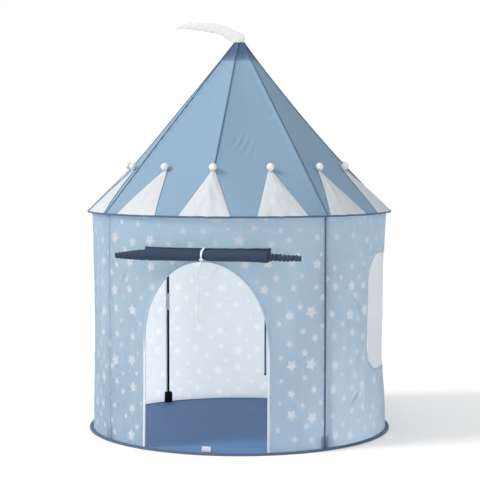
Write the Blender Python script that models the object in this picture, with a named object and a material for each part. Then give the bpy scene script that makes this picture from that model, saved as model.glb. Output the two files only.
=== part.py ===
"""A round play tent for children, on its own sewn-in floor, with the doorway towards -Y.

The cloth is held in shape by two flat spring hoops, one bound into the edge of the floor
and one bound into the eave. Four jointed poles stand in pockets inside the wall, turn
inwards at the eave in bent elbows, run up sleeves under the ridges of the roof and meet
in a hub below the peak. The door curtain is rolled up and held by a tie over the doorway.

All sizes are metres. A bearing is an angle in degrees round the tent, from the doorway
towards +X.
"""

import math

import bmesh
import bpy
from mathutils import Matrix, Vector

UP = Vector((0, 0, 1))

# Clearances and cloth
GAP = 0.0003
SEAT = 0.0005
CLOTH = 0.002
TAPE = 0.0008
OVERRUN = 0.05

# Straight runs that the round of the wall is made of, and the lines between them
SECTORS = 72
LINE_ANGLE = 360 / SECTORS

# Wall
WALL_RADIUS = 0.486
WAIST = 0.012
EAVE_HEIGHT = 0.716
WALL_ROW_SHARES = (0, 0.25, 0.5, 0.75, 1)
PANELS = {"front": 0, "right": 90, "back": 180, "left": 270}
PANEL_ANGLE = 90
SEAM_TAPE_WIDTH = 0.007

# Hoops and the bindings that hold them
HOOP_HEIGHT = 0.004
HOOP_THICKNESS = 0.0012
BINDING_TAPE = 0.0007
BASE_REACH = 0.0135
EAVE_REACH = 0.0165
NOSE_CHAMFER = 0.0018
NOSE_WALL = 0.0025
BINDING_HEIGHT = HOOP_HEIGHT + 2 * (GAP + BINDING_TAPE)
BINDING_INNER = WALL_RADIUS - CLOTH
WALL_FOOT = BINDING_HEIGHT + GAP
WALL_TOP = EAVE_HEIGHT - GAP

# Floor
FLOOR_THICKNESS = 0.004
FLOOR_LIP = 0.002
TAG_WIDTH = 0.028
TAG_HEIGHT = 0.016
TAG_THICKNESS = 0.001
TAG_SETBACK = 0.014
TAG_LEAN = 0.004

# Roof
ROOF_FOOT_REACH = 0.01
PEAK_HEIGHT = 1.272
PEAK_RADIUS = 0.0165
GORES = 8
GORE_ANGLE = 360 / GORES
GORE_LINES = 7
FLAT_SHARE = 0.4
ROOF_ROW_SHARES = (0, 0.08, 0.17, 0.25, 0.4, 0.65, 1)
ROOF_FOOT_RADIUS = WALL_RADIUS + ROOF_FOOT_REACH
ROOF_FOOT_HEIGHT = EAVE_HEIGHT + BINDING_HEIGHT + GAP
ROOF_RUN = ROOF_FOOT_RADIUS - PEAK_RADIUS
ROOF_RISE = PEAK_HEIGHT - ROOF_FOOT_HEIGHT
ROOF_PITCH = math.atan2(ROOF_RISE, ROOF_RUN)
REINFORCEMENT = 0.001
REINFORCED_SHARES = (0.82, 0.985)
CAP_RADIUS = 0.018
CAP_THICKNESS = 0.0025
CAP_SIDES = 16

# Bunting
FLAGS = 13
FLAG_BASE_HALF = 0.079
FLAG_TIP_HALF = 0.0035
FLAG_RISE_SHARE = 0.25
POMPON_RADIUS = 0.0125
POMPON_SIDES = 8
POMPON_RINGS = 5

# Poles and their fittings
CORNERS = {"front_right": 45, "back_right": 135, "back_left": 225, "front_left": 315}
ROD_SIDES = 8
POLE_RADIUS = 0.0035
BORE = POLE_RADIUS + GAP
POCKET_FOOT_WIDTH = 0.028
POCKET_TOP_WIDTH = 0.026
POCKET_HEIGHT = 0.038
POCKET_DEPTH = 0.011
POCKET_FLOOR = 0.002
FERRULE_RADIUS = 0.0046
FERRULE_LENGTH = 0.06
FERRULE_HEIGHT = 0.372
POLE_LOOP_RADIUS = 0.0057
POLE_LOOP_LENGTH = 0.008
POLE_LOOP_DROP = 0.038
ELBOW_RADIUS = 0.0053
ELBOW_SOCKET = 0.03
ELBOW_BEND = 0.012
SLEEVE_WALL = 0.0013
SLEEVE_SLACK = 0.0006
SLEEVE_RADIUS = FERRULE_RADIUS + SLEEVE_SLACK + SLEEVE_WALL
SLEEVE_FOOT_GAP = 0.0076
SLEEVE_TOP_GAP = 0.076
HUB_RADIUS = 0.017
HUB_HEIGHT = 0.031
HUB_DROP = 0.006
HUB_DOME = 0.01
HUB_CHAMFER = 0.004
HUB_TOP_RADIUS = 0.008
HUB_SIDES = 16
HUB_SOCKET_RADIUS = 0.0052
HUB_SOCKET_ROOT = 0.012
HUB_BORE_ROOT = 0.02
HUB_SOCKET_END = 0.058

# Door and the curtain over it
DOOR_CENTRE = -0.008
DOOR_HALF = 0.195
DOOR_SPRING = 0.334
DOOR_HEADROOM = 0.0315
ARCH_STEPS = 16
BINDING_REACH = 0.005
HEADING_DROP = 0.0905
HEADING_HEIGHT = 0.01
HEADING_DEPTH = 0.005
CURTAIN_HALF = 0.195
CURTAIN_CLOTH = 0.0015
CURTAIN_TUCK = 0.005
ROLL_TURNS = 7
ROLL_POINTS = 10
ROLL_CLOTH = 0.001
ROLL_PITCH = 0.00155
ROLL_CORE = 0.008
ROLL_OVERLAP = 0.0084
ROLL_STANDOFF = 0.0013
ROLL_LEFT = 0.267
ROLL_RIGHT = 0.298
HEADING_TOP = EAVE_HEIGHT - HEADING_DROP
HEADING_FOOT = HEADING_TOP - HEADING_HEIGHT
DOOR_TOP = HEADING_FOOT - DOOR_HEADROOM
ROLL_RADIUS = ROLL_CORE + ROLL_TURNS * ROLL_PITCH
ROLL_HEIGHT = HEADING_FOOT + ROLL_OVERLAP - ROLL_RADIUS

# Tie that holds the roll, and the tie inside the door's edge
BAND_HALF = 0.005
BAND_THICKNESS = 0.001
BAND_ABOVE = 0.003
BAND_START = 95
BAND_END = 295
BAND_STEP = 25
KNOT_BEARING = 215
KNOT_RADIUS = 0.005
KNOT_SIDES = 8
KNOT_RINGS = 6
TAIL_RADIUS = 0.00175
END_KNOT_RADIUS = 0.0035
TIE_TAIL_ROUTE = (
    (-0.0008, -0.5246, 0.5853),
    (-0.0012, -0.5250, 0.5822),
    (-0.0048, -0.5265, 0.5770),
    (-0.0112, -0.5276, 0.5690),
    (-0.0136, -0.5280, 0.5590),
    (-0.0118, -0.5280, 0.5440),
    (-0.0098, -0.5278, 0.5230),
    (-0.0090, -0.5276, 0.4980),
    (-0.0096, -0.5275, 0.4720),
    (-0.0112, -0.5275, 0.4450),
    (-0.0128, -0.5276, 0.4220),
    (-0.0135, -0.5276, 0.4070),
)
TAIL_POINTS_BETWEEN = 3
DOOR_EDGE_BEARING = math.degrees(math.asin((DOOR_CENTRE + DOOR_HALF) / WALL_RADIUS))
INNER_TIE_SETBACKS = (1.03, 0.33)
INNER_TIE_BEARINGS = tuple(DOOR_EDGE_BEARING - setback for setback in INNER_TIE_SETBACKS)
INNER_TIE_FOOT = 0.246
INNER_TIE_TOP = 0.415
INNER_TIE_THICKNESS = 0.0012
INNER_KNOT_RADIUS = 0.005

# Windows
WINDOW_BEARINGS = {"right": 90, "left": 270}
WINDOW_WIDTH = 0.33
WINDOW_SILL = 0.22
WINDOW_HEAD = 0.59
WINDOW_CORNER = 0.08
CORNER_STEPS = 5
NET_HEM = 0.012
NET_THICKNESS = 0.001

# Pennant: how far along, how far up, how wide and how far tipped over each section is
PENNANT_BEARING = -77
PENNANT_REACH = 0.212
PENNANT_RISE = 0.053
PENNANT_WIDTH = 0.05
PENNANT_FOOT_THICKNESS = 0.008
PENNANT_TIP_THICKNESS = 0.003
PENNANT_EDGE_SHARE = 0.35
PENNANT_SECTION_SHARES = (
    (0.03, 0.00, 0.94, 0.00),
    (0.03, 0.19, 1.00, 0.21),
    (0.11, 0.42, 0.98, 0.24),
    (0.23, 0.66, 0.76, 0.36),
    (0.37, 0.83, 0.68, 0.66),
    (0.56, 0.92, 0.56, 0.96),
    (0.755, 0.965, 0.43, 1.02),
    (0.91, 0.91, 0.19, 1.17),
    (1.00, 0.75, 0.05, 1.28),
)


def around(bearing, radius, height):
    """A point at a bearing round the tent."""
    turn = math.radians(bearing)
    return Vector((radius * math.sin(turn), -radius * math.cos(turn), height))


def mix(low, high, share):
    return low + (high - low) * share


def run_of(stops, value):
    """The two stops that a value lies between, and how far between them it is."""
    for low, high in zip(stops, stops[1:]):
        if value <= high:
            break
    return low, high, (value - low) / (high - low)


def make_material(name, colour, roughness, metallic=0.0):
    material = bpy.data.materials.new(name)
    material.use_nodes = True
    shader = material.node_tree.nodes["Principled BSDF"]
    shader.inputs["Base Color"].default_value = (*colour, 1)
    shader.inputs["Roughness"].default_value = roughness
    shader.inputs["Metallic"].default_value = metallic
    material.diffuse_color = (*colour, 1)
    return material


def make_object(name, mesh, material):
    """A named object from a finished mesh, with its faces pointing out."""
    bmesh.ops.recalc_face_normals(mesh, faces=mesh.faces)
    data = bpy.data.meshes.new(name)
    mesh.to_mesh(data)
    mesh.free()
    data.shade_smooth()
    data.set_sharp_from_angle(angle=math.radians(35))
    piece = bpy.data.objects.new(name, data)
    bpy.context.scene.collection.objects.link(piece)
    if material:
        data.materials.append(material)
    else:
        piece.hide_render = True
        piece.display_type = "WIRE"
    return piece


def combine(piece, tool, operation):
    """Cuts a piece with a tool, keeps what both share, or joins them."""
    modifier = piece.modifiers.new(tool.name, "BOOLEAN")
    modifier.operation = operation
    modifier.object = tool


def add_sheet(mesh, outer, inner, closed=False):
    """A closed skin between two grids of points, given row by row.

    Each face is split from its first point to the opposite one, so that sheets which lie
    on each other bend along the same lines.
    """
    outer_rows = [[mesh.verts.new(point) for point in row] for row in outer]
    inner_rows = [[mesh.verts.new(point) for point in row] for row in inner]
    columns = len(outer[0])
    steps = columns if closed else columns - 1
    for column in range(steps):
        after = (column + 1) % columns
        for row in range(len(outer) - 1):
            for rows in (outer_rows, inner_rows):
                mesh.faces.new((rows[row][column], rows[row][after], rows[row + 1][after]))
                mesh.faces.new((rows[row][column], rows[row + 1][after], rows[row + 1][column]))
        for row in (0, -1):
            mesh.faces.new((outer_rows[row][column], outer_rows[row][after],
                            inner_rows[row][after], inner_rows[row][column]))
    if not closed:
        for row in range(len(outer) - 1):
            for column in (0, -1):
                mesh.faces.new((outer_rows[row][column], outer_rows[row + 1][column],
                                inner_rows[row + 1][column], inner_rows[row][column]))


def make_sheet(name, outer, inner, material, closed=False):
    mesh = bmesh.new()
    add_sheet(mesh, outer, inner, closed)
    return make_object(name, mesh, material)


def make_turned(name, profile, steps, material):
    """A profile of (radius, height) points turned round the tent's axis."""
    mesh = bmesh.new()
    points = [mesh.verts.new(around(0, radius, height)) for radius, height in profile]
    edges = [mesh.edges.new(pair) for pair in zip(points, points[1:])]
    if min(radius for radius, height in profile) > 0:
        edges.append(mesh.edges.new((points[-1], points[0])))
    bmesh.ops.spin(mesh, geom=points + edges, cent=(0, 0, 0), axis=UP, angle=math.tau,
                   steps=steps, use_merge=True)
    bmesh.ops.remove_doubles(mesh, verts=mesh.verts, dist=GAP / 10)
    return make_object(name, mesh, material)


def add_prism(mesh, outline, bearing, near, far):
    """An outline of (across, up) points run outwards at a bearing, from near to far."""
    out = around(bearing, 1, 0)
    side = around(bearing + 90, 1, 0)
    ends = []
    for reach in (near, far):
        ends.append([mesh.verts.new(out * reach + side * across + UP * up)
                     for across, up in outline])
    for end in ends:
        mesh.faces.new(end)
    for index in range(len(outline)):
        after = (index + 1) % len(outline)
        mesh.faces.new((ends[0][index], ends[0][after], ends[1][after], ends[1][index]))


def make_prism(name, outline, bearing, near, far, material=None):
    mesh = bmesh.new()
    add_prism(mesh, outline, bearing, near, far)
    return make_object(name, mesh, material)


def directions(points):
    """At each point of a line, the way on, and how much longer a mitred section is there."""
    ways = []
    for index, point in enumerate(points):
        ahead = points[min(index + 1, len(points) - 1)]
        behind = points[max(index - 1, 0)]
        to_next = (ahead - point if index + 1 < len(points) else point - behind).normalized()
        from_last = (point - behind if index else ahead - point).normalized()
        along = (to_next + from_last).normalized()
        ways.append((along, 1 / along.dot(to_next)))
    return ways


def add_ring(mesh, centre, side, across, radius):
    ring = []
    for corner in range(ROD_SIDES):
        turn = math.tau * (corner + 0.5) / ROD_SIDES
        ring.append(mesh.verts.new(centre + (side * math.cos(turn) + across * math.sin(turn)) * radius))
    return ring


def join_rings(mesh, rings):
    for ring, following in zip(rings, rings[1:]):
        for corner in range(len(ring)):
            after = (corner + 1) % len(ring)
            mesh.faces.new((ring[corner], ring[after], following[after], following[corner]))


def make_bar(name, bearing, start, end, profile, material):
    """A straight round bar from one (out, up) point towards another, by (distance, radius)."""
    mesh = bmesh.new()
    side = around(bearing + 90, 1, 0)
    foot = around(bearing, *start)
    along = (around(bearing, *end) - foot).normalized()
    across = side.cross(along)
    rings = [add_ring(mesh, foot + along * distance, side, across, radius) for distance, radius in profile]
    join_rings(mesh, rings)
    mesh.faces.new(rings[0])
    mesh.faces.new(rings[-1])
    return make_object(name, mesh, material)


def add_tube(mesh, bearing, path, radius, bore):
    """A round tube along (out, up) points at one bearing, mitred where the path bends."""
    side = around(bearing + 90, 1, 0)
    points = [around(bearing, out, up) for out, up in path]
    skins = []
    for size in (radius, bore):
        skins.append([add_ring(mesh, point, side, side.cross(along) * stretch, size)
                      for point, (along, stretch) in zip(points, directions(points))])
        join_rings(mesh, skins[-1])
    for end in (0, -1):
        join_rings(mesh, (skins[0][end], skins[1][end]))


def make_tube(name, bearing, path, radius, bore, material):
    mesh = bmesh.new()
    add_tube(mesh, bearing, path, radius, bore)
    return make_object(name, mesh, material)


def make_bars(name, start, end, radius, bearings):
    """A tool of like bars, one at each bearing."""
    mesh = bmesh.new()
    for bearing in bearings:
        side = around(bearing + 90, 1, 0)
        points = [around(bearing, *start), around(bearing, *end)]
        across = side.cross((points[1] - points[0]).normalized())
        rings = [add_ring(mesh, point, side, across, radius) for point in points]
        join_rings(mesh, rings)
        mesh.faces.new(rings[0])
        mesh.faces.new(rings[-1])
    return make_object(name, mesh, None)


def add_ball(mesh, centre, radius, sides, rings, axis=UP):
    turn = UP.rotation_difference(axis).to_matrix().to_4x4()
    bmesh.ops.create_uvsphere(mesh, u_segments=sides, v_segments=rings, radius=radius,
                              matrix=Matrix.Translation(centre) @ turn)


def make_ball(name, centre, radius, material=None):
    mesh = bmesh.new()
    add_ball(mesh, centre, radius, KNOT_SIDES, KNOT_RINGS)
    return make_object(name, mesh, material)


# The wall's surface

def wall_radius(line, share):
    """The wall's outer radius, which is drawn in between its poles and between its hoops."""
    between_poles = (1 - math.cos(math.radians(4 * (line - CORNERS["front_right"])))) / 2
    return WALL_RADIUS - WAIST * between_poles * math.sin(math.pi * share)


def on_wall(bearing, height, offset):
    """A point on the wall's outer face, or offset out from it, on the flats between its lines."""
    line = math.floor(bearing / LINE_ANGLE) * LINE_ANGLE
    across = (bearing - line) / LINE_ANGLE
    low, high, up = run_of(WALL_ROW_SHARES, (height - WALL_FOOT) / (WALL_TOP - WALL_FOOT))
    corners = [[around(angle, wall_radius(angle, share) + offset, mix(WALL_FOOT, WALL_TOP, share))
                for angle in (line, line + LINE_ANGLE)] for share in (low, high)]
    if across > up:
        return (corners[0][0] + (corners[0][1] - corners[0][0]) * across
                + (corners[1][1] - corners[0][1]) * up)
    return (corners[0][0] + (corners[1][0] - corners[0][0]) * up
            + (corners[1][1] - corners[1][0]) * across)


def lines_between(start, end):
    """The bearings from start to end that a sheet on the wall needs to lie flat on it."""
    first = math.floor(start / LINE_ANGLE) + 1
    last = math.ceil(end / LINE_ANGLE)
    return [start] + [line * LINE_ANGLE for line in range(first, last)] + [end]


def rows_between(foot, top):
    """The heights from foot to top at which the wall changes its slope."""
    rows = [mix(WALL_FOOT, WALL_TOP, share) for share in WALL_ROW_SHARES]
    return [foot] + [row for row in rows if foot < row < top] + [top]


def wall_grid(lines, rows, offset):
    return [[on_wall(line, row, offset) for line in lines] for row in rows]


def wall_sheet(name, bearings, heights, inner, outer, material):
    """A sheet that follows the wall, between two bearings, two heights and two offsets."""
    lines = lines_between(*bearings)
    rows = rows_between(*heights)
    return make_sheet(name, wall_grid(lines, rows, outer), wall_grid(lines, rows, inner), material)


# The roof's surface

def roof_radius(line, rise):
    """Round at the eave and eight-sided further up, with its corners on the seams."""
    seam = mix(ROOF_FOOT_RADIUS, PEAK_RADIUS, rise)
    from_middle = math.radians(line % GORE_ANGLE - GORE_ANGLE / 2)
    flattened = math.cos(math.radians(GORE_ANGLE / 2)) / math.cos(from_middle)
    share = min(rise / FLAT_SHARE, 1)
    ease = share * share * (3 - 2 * share)
    return seam * mix(1, flattened, ease)


def roof_point(bearing, rise, lift):
    """A point on the roof's outer face, or lifted off it, on the flats between its lines."""
    low, high, part = run_of(ROOF_ROW_SHARES, rise)
    step = GORE_ANGLE / (GORE_LINES - 1)
    line = math.floor(bearing / step) * step
    height = mix(ROOF_FOOT_HEIGHT, PEAK_HEIGHT, rise)
    ends = []
    for angle in (line, line + step):
        radius = mix(roof_radius(angle, low), roof_radius(angle, high), part)
        ends.append(around(angle, radius + lift / math.sin(ROOF_PITCH), height))
    return ends[0].lerp(ends[1], (bearing - line) / step)


# Where the poles run, as (out, up) points in the upright plane of each pole

POCKET_FACE = ((BINDING_INNER * math.cos(math.radians(LINE_ANGLE / 2)) - GAP
                - POCKET_FOOT_WIDTH / 2 * math.sin(math.radians(LINE_ANGLE / 2)))
               / math.cos(math.radians(LINE_ANGLE / 2)))
POLE_OUT = POCKET_FACE - POCKET_DEPTH / 2
GORE_PITCH = math.atan2(ROOF_RISE, ROOF_RUN * math.cos(math.radians(GORE_ANGLE / 2)))
RIDGE_FOLD = math.asin(math.sin(GORE_PITCH) * math.sin(math.radians(GORE_ANGLE / 2)))
POLE_DEPTH = max(CLOTH + (SLEEVE_RADIUS + GAP) / math.cos(RIDGE_FOLD),
                 CLOTH + SEAT + REINFORCEMENT + (HUB_SOCKET_RADIUS + GAP) / math.cos(RIDGE_FOLD))
ELBOW_HEIGHT = (ROOF_FOOT_HEIGHT + (ROOF_FOOT_RADIUS - POLE_OUT) * math.tan(ROOF_PITCH)
                - POLE_DEPTH / math.cos(ROOF_PITCH))


def up_roof_pole(distance):
    """A point on the roof pole's axis, so far from the corner of the elbow."""
    return (POLE_OUT - distance * math.cos(ROOF_PITCH), ELBOW_HEIGHT + distance * math.sin(ROOF_PITCH))


def roof_pole_at(out):
    """How far up the roof pole it is to a place that lies so far out from the tent's axis."""
    return (POLE_OUT - out) / math.cos(ROOF_PITCH)


def make_floor(cloth, plain):
    hoop_inner = WALL_RADIUS + BASE_REACH - NOSE_WALL - GAP - HOOP_THICKNESS
    edge = BINDING_INNER - GAP
    lip = hoop_inner - GAP
    make_turned("floor_mat", ((0, 0), (edge, 0), (edge, FLOOR_LIP), (lip, FLOOR_LIP),
                              (lip, FLOOR_THICKNESS), (0, FLOOR_THICKNESS)), SECTORS, cloth)
    front = BINDING_INNER - TAG_SETBACK
    foot = FLOOR_THICKNESS + GAP
    outer = [[Vector((side * TAG_WIDTH / 2, -front, foot)) for side in (-1, 1)],
             [Vector((side * TAG_WIDTH / 2, TAG_LEAN - front, foot + TAG_HEIGHT)) for side in (-1, 1)]]
    inner = [[point + Vector((0, TAG_THICKNESS, 0)) for point in row] for row in outer]
    make_sheet("floor_tag", outer, inner, plain)


def make_hoop_and_binding(name, foot, reach, steel, tape):
    """A flat spring hoop, and the tape that is folded round it and open towards the cloth."""
    nose = WALL_RADIUS + reach
    top = foot + BINDING_HEIGHT
    hollow = nose - NOSE_WALL
    profile = ((BINDING_INNER, foot), (nose - NOSE_CHAMFER, foot), (nose, foot + NOSE_CHAMFER),
               (nose, top - NOSE_CHAMFER), (nose - NOSE_CHAMFER, top), (BINDING_INNER, top),
               (BINDING_INNER, top - BINDING_TAPE), (hollow, top - BINDING_TAPE),
               (hollow, foot + BINDING_TAPE), (BINDING_INNER, foot + BINDING_TAPE))
    outer = hollow - GAP
    inner = outer - HOOP_THICKNESS
    low = foot + BINDING_TAPE + GAP
    high = low + HOOP_HEIGHT
    make_turned(name + "_hoop", ((inner, low), (outer, low), (outer, high), (inner, high)),
                SECTORS, steel)
    return make_turned(name + "_binding", profile, SECTORS, tape)


def arch_outline(grow):
    """The doorway: straight sides to the spring of the arch, and half an ellipse over them."""
    half = DOOR_HALF + grow
    rise = DOOR_TOP - DOOR_SPRING + grow
    outline = [(DOOR_CENTRE - half, -OVERRUN)]
    for step in range(ARCH_STEPS + 1):
        turn = math.pi * (1 - step / ARCH_STEPS)
        outline.append((DOOR_CENTRE + half * math.cos(turn), DOOR_SPRING + rise * math.sin(turn)))
    outline.append((DOOR_CENTRE + half, -OVERRUN))
    return outline


def window_outline(grow):
    """A rectangle with round corners."""
    half = WINDOW_WIDTH / 2 + grow
    radius = WINDOW_CORNER + grow
    outline = []
    for quarter, (side, end) in enumerate(((1, 1), (-1, 1), (-1, -1), (1, -1))):
        level = WINDOW_HEAD + grow if end > 0 else WINDOW_SILL - grow
        for step in range(CORNER_STEPS + 1):
            turn = math.pi / 2 * (quarter + step / CORNER_STEPS)
            outline.append((side * (half - radius) + radius * math.cos(turn),
                            level - end * radius + radius * math.sin(turn)))
    return outline


def make_wall(cloth, tape):
    half_seam = math.degrees(GAP / WALL_RADIUS)
    far = WALL_RADIUS + OVERRUN
    near = WALL_RADIUS - 2 * OVERRUN
    openings = {"front": make_prism("door_opening", arch_outline(0), 0, near / 2, far)}
    for side, bearing in WINDOW_BEARINGS.items():
        openings[side] = make_prism("window_opening_" + side, window_outline(0), bearing, near, far)
    for name, middle in PANELS.items():
        ends = (middle - PANEL_ANGLE / 2 + half_seam, middle + PANEL_ANGLE / 2 - half_seam)
        panel = wall_sheet("wall_" + name, ends, (WALL_FOOT, WALL_TOP), -CLOTH, 0, cloth)
        if name in openings:
            combine(panel, openings[name], "DIFFERENCE")
        seam = middle + PANEL_ANGLE / 2
        combine(panel, make_seam_tape(name, seam, half_seam), "UNION")
        combine(panel, make_pole_loop(name, seam), "UNION")


def make_seam_tape(name, seam, half_seam):
    """A tape over a wall seam: sewn to the panel before the seam, lying on the one after it."""
    half_tape = math.degrees(SEAM_TAPE_WIDTH / 2 / WALL_RADIUS)
    columns = ((seam - half_tape, -CLOTH / 2), (seam - half_seam, -CLOTH / 2),
               (seam, SEAT), (seam + half_tape, SEAT))
    rows = rows_between(WALL_FOOT, WALL_TOP)
    outer = [[on_wall(line, row, SEAT + TAPE) for line, back in columns] for row in rows]
    inner = [[on_wall(line, row, back) for line, back in columns] for row in rows]
    return make_sheet("seam_tape_" + name, outer, inner, None)


def make_pole_loop(name, seam):
    """A loop round the pole just under the eave, on a tab sewn to the panel before the seam."""
    top = EAVE_HEIGHT - POLE_LOOP_DROP + POLE_LOOP_LENGTH / 2
    foot = top - POLE_LOOP_LENGTH
    mesh = bmesh.new()
    add_tube(mesh, seam, ((POLE_OUT, foot), (POLE_OUT, top)), POLE_LOOP_RADIUS, BORE)
    loop = make_object("pole_loop_" + name, mesh, None)
    tab = ((-POLE_LOOP_RADIUS + TAPE, foot), (-SEAT, foot), (-SEAT, top), (-POLE_LOOP_RADIUS + TAPE, top))
    combine(loop, make_prism("pole_loop_tab_" + name, tab, seam, POLE_OUT + BORE + GAP,
                             BINDING_INNER + CLOTH / 2), "UNION")
    return loop


def make_door_binding(tape):
    """A tape folded round the edge of the doorway, inside and outside the wall."""
    half = PANEL_ANGLE / 2
    far = WALL_RADIUS + OVERRUN
    near = WALL_RADIUS / 2
    heights = (WALL_FOOT, WALL_TOP)
    binding = wall_sheet("door_binding", (-half, half), heights, -CLOTH - SEAT - TAPE, SEAT + TAPE, tape)
    room = wall_sheet("room_for_cloth", (-half - LINE_ANGLE, half + LINE_ANGLE), heights,
                      -CLOTH - SEAT, SEAT, None)
    for vertex in room.data.vertices:
        if vertex.co.z < mix(WALL_FOOT, WALL_TOP, WALL_ROW_SHARES[1]) / 2:
            vertex.co.z -= BINDING_HEIGHT
    outside = make_prism("door_binding_outside", arch_outline(BINDING_REACH), 0, near, far)
    middle = make_prism("door_binding_fold", arch_outline(-SEAT), 0, near, far)
    inside = make_prism("door_binding_inside", arch_outline(-SEAT - TAPE), 0, near, far)
    combine(room, middle, "DIFFERENCE")
    combine(binding, outside, "INTERSECT")
    combine(binding, inside, "DIFFERENCE")
    combine(binding, room, "DIFFERENCE")


def make_nets(net):
    for side, bearing in WINDOW_BEARINGS.items():
        half = math.degrees(WINDOW_WIDTH / WALL_RADIUS)
        back = -CLOTH - SEAT
        sheet = wall_sheet("window_net_" + side, (bearing - half, bearing + half),
                           (WALL_FOOT, WALL_TOP), back - NET_THICKNESS, back, net)
        outline = make_prism("net_outline_" + side, window_outline(NET_HEM), bearing,
                             WALL_RADIUS - 2 * OVERRUN, WALL_RADIUS + OVERRUN)
        combine(sheet, outline, "INTERSECT")


def make_roof(cloth, lining, cap):
    step = GORE_ANGLE / (GORE_LINES - 1)
    for gore in range(GORES):
        start = gore * GORE_ANGLE
        faces = []
        for lift in (0, -CLOTH):
            grid = []
            for rise in ROOF_ROW_SHARES:
                row = [roof_point(start + step * line, rise, lift) for line in range(GORE_LINES)]
                row[0] += around(start + 90, GAP, 0)
                row[-1] -= around(start + GORE_ANGLE + 90, GAP, 0)
                grid.append(row)
            faces.append(grid)
        make_sheet("roof_gore_%d" % (gore + 1), faces[0], faces[1], cloth)
    seams = [gore * GORE_ANGLE for gore in range(GORES)]
    faces = []
    for lift in (-CLOTH - SEAT, -CLOTH - SEAT - REINFORCEMENT):
        faces.append([[roof_point(seam, rise, lift) for seam in seams] for rise in REINFORCED_SHARES])
    make_sheet("peak_reinforcement", faces[0], faces[1], lining, closed=True)
    foot = PEAK_HEIGHT + GAP
    top = foot + CAP_THICKNESS
    make_turned("peak_cap", ((0, foot), (CAP_RADIUS, foot), (CAP_RADIUS, top), (0, top)), CAP_SIDES, cap)


def add_flag(mesh, bearing):
    """A triangle of doubled cloth, trimmed from a patch that lies on the roof."""
    step = GORE_ANGLE / (GORE_LINES - 1)
    reach = math.degrees(math.asin(2 * FLAG_BASE_HALF / ROOF_FOOT_RADIUS))
    first = math.floor((bearing - reach) / step)
    last = math.ceil((bearing + reach) / step)
    lines = [step * line for line in range(first, last + 1)]
    foot = -(GAP + BINDING_TAPE / 2) / ROOF_RISE
    rises = [foot] + [rise for rise in ROOF_ROW_SHARES if 0 < rise < FLAG_RISE_SHARE] + [FLAG_RISE_SHARE]
    patch = bmesh.new()
    add_sheet(patch, *([[roof_point(line, rise, lift) for line in lines] for rise in rises]
                       for lift in (SEAT + CLOTH, SEAT)))
    side = around(bearing + 90, 1, 0)
    tip_height = mix(ROOF_FOOT_HEIGHT, PEAK_HEIGHT, FLAG_RISE_SHARE)
    for hand in (-1, 1):
        tip = side * hand * FLAG_TIP_HALF + UP * tip_height
        corner = side * hand * FLAG_BASE_HALF + UP * ROOF_FOOT_HEIGHT
        beyond = around(bearing, hand, 0).cross(corner - tip)
        bmesh.ops.bisect_plane(patch, geom=patch.verts[:] + patch.edges[:] + patch.faces[:],
                               plane_co=tip, plane_no=beyond, clear_outer=True)
        bmesh.ops.holes_fill(patch, edges=[edge for edge in patch.edges if edge.is_boundary])
    data = bpy.data.meshes.new("flag")
    patch.to_mesh(data)
    patch.free()
    mesh.from_mesh(data)
    bpy.data.meshes.remove(data)


def make_bunting():
    """Triangles of white cloth on the roof, each with a pompon on its point."""
    flags = bmesh.new()
    pompons = bmesh.new()
    for flag in range(FLAGS):
        bearing = flag * 360 / FLAGS
        add_flag(flags, bearing)
        normal = around(bearing, math.sin(ROOF_PITCH), math.cos(ROOF_PITCH))
        seat = roof_point(bearing, FLAG_RISE_SHARE, SEAT + CLOTH)
        add_ball(pompons, seat + normal * (POMPON_RADIUS - CLOTH / 2), POMPON_RADIUS,
                 POMPON_SIDES, POMPON_RINGS, normal)
    bunting = make_object("bunting", flags, None)
    combine(bunting, make_object("pompons", pompons, None), "UNION")
    return bunting


def make_pocket(corner, bearing, webbing):
    """The pocket on the floor that the foot of a wall pole stands in."""
    foot = FLOOR_THICKNESS + GAP
    top = foot + POCKET_HEIGHT
    outline = ((-POCKET_FOOT_WIDTH / 2, foot), (POCKET_FOOT_WIDTH / 2, foot),
               (POCKET_TOP_WIDTH / 2, top), (-POCKET_TOP_WIDTH / 2, top))
    pocket = make_prism("foot_pocket_" + corner, outline, bearing, POCKET_FACE - POCKET_DEPTH,
                        POCKET_FACE, webbing)
    hole = make_bars("pocket_hole_" + corner, (POLE_OUT, foot + POCKET_FLOOR),
                     (POLE_OUT, top + OVERRUN), BORE, [bearing])
    combine(pocket, hole, "DIFFERENCE")


def make_pole(name, corner, bearing, start, end, joint, tube):
    """A pole in two halves: a ferrule fixed on the lower one takes the end of the upper one."""
    length = math.dist(start, end)
    socket = joint + FERRULE_LENGTH / 2
    lower = ((0, POLE_RADIUS), (joint - FERRULE_LENGTH / 2, POLE_RADIUS),
             (joint - FERRULE_LENGTH / 2, FERRULE_RADIUS), (socket, FERRULE_RADIUS),
             (socket, BORE), (joint, BORE))
    upper = ((joint + GAP, POLE_RADIUS), (length, POLE_RADIUS))
    make_bar("%s_lower_%s" % (name, corner), bearing, start, end, lower, tube)
    make_bar("%s_upper_%s" % (name, corner), bearing, start, end, upper, tube)


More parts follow.
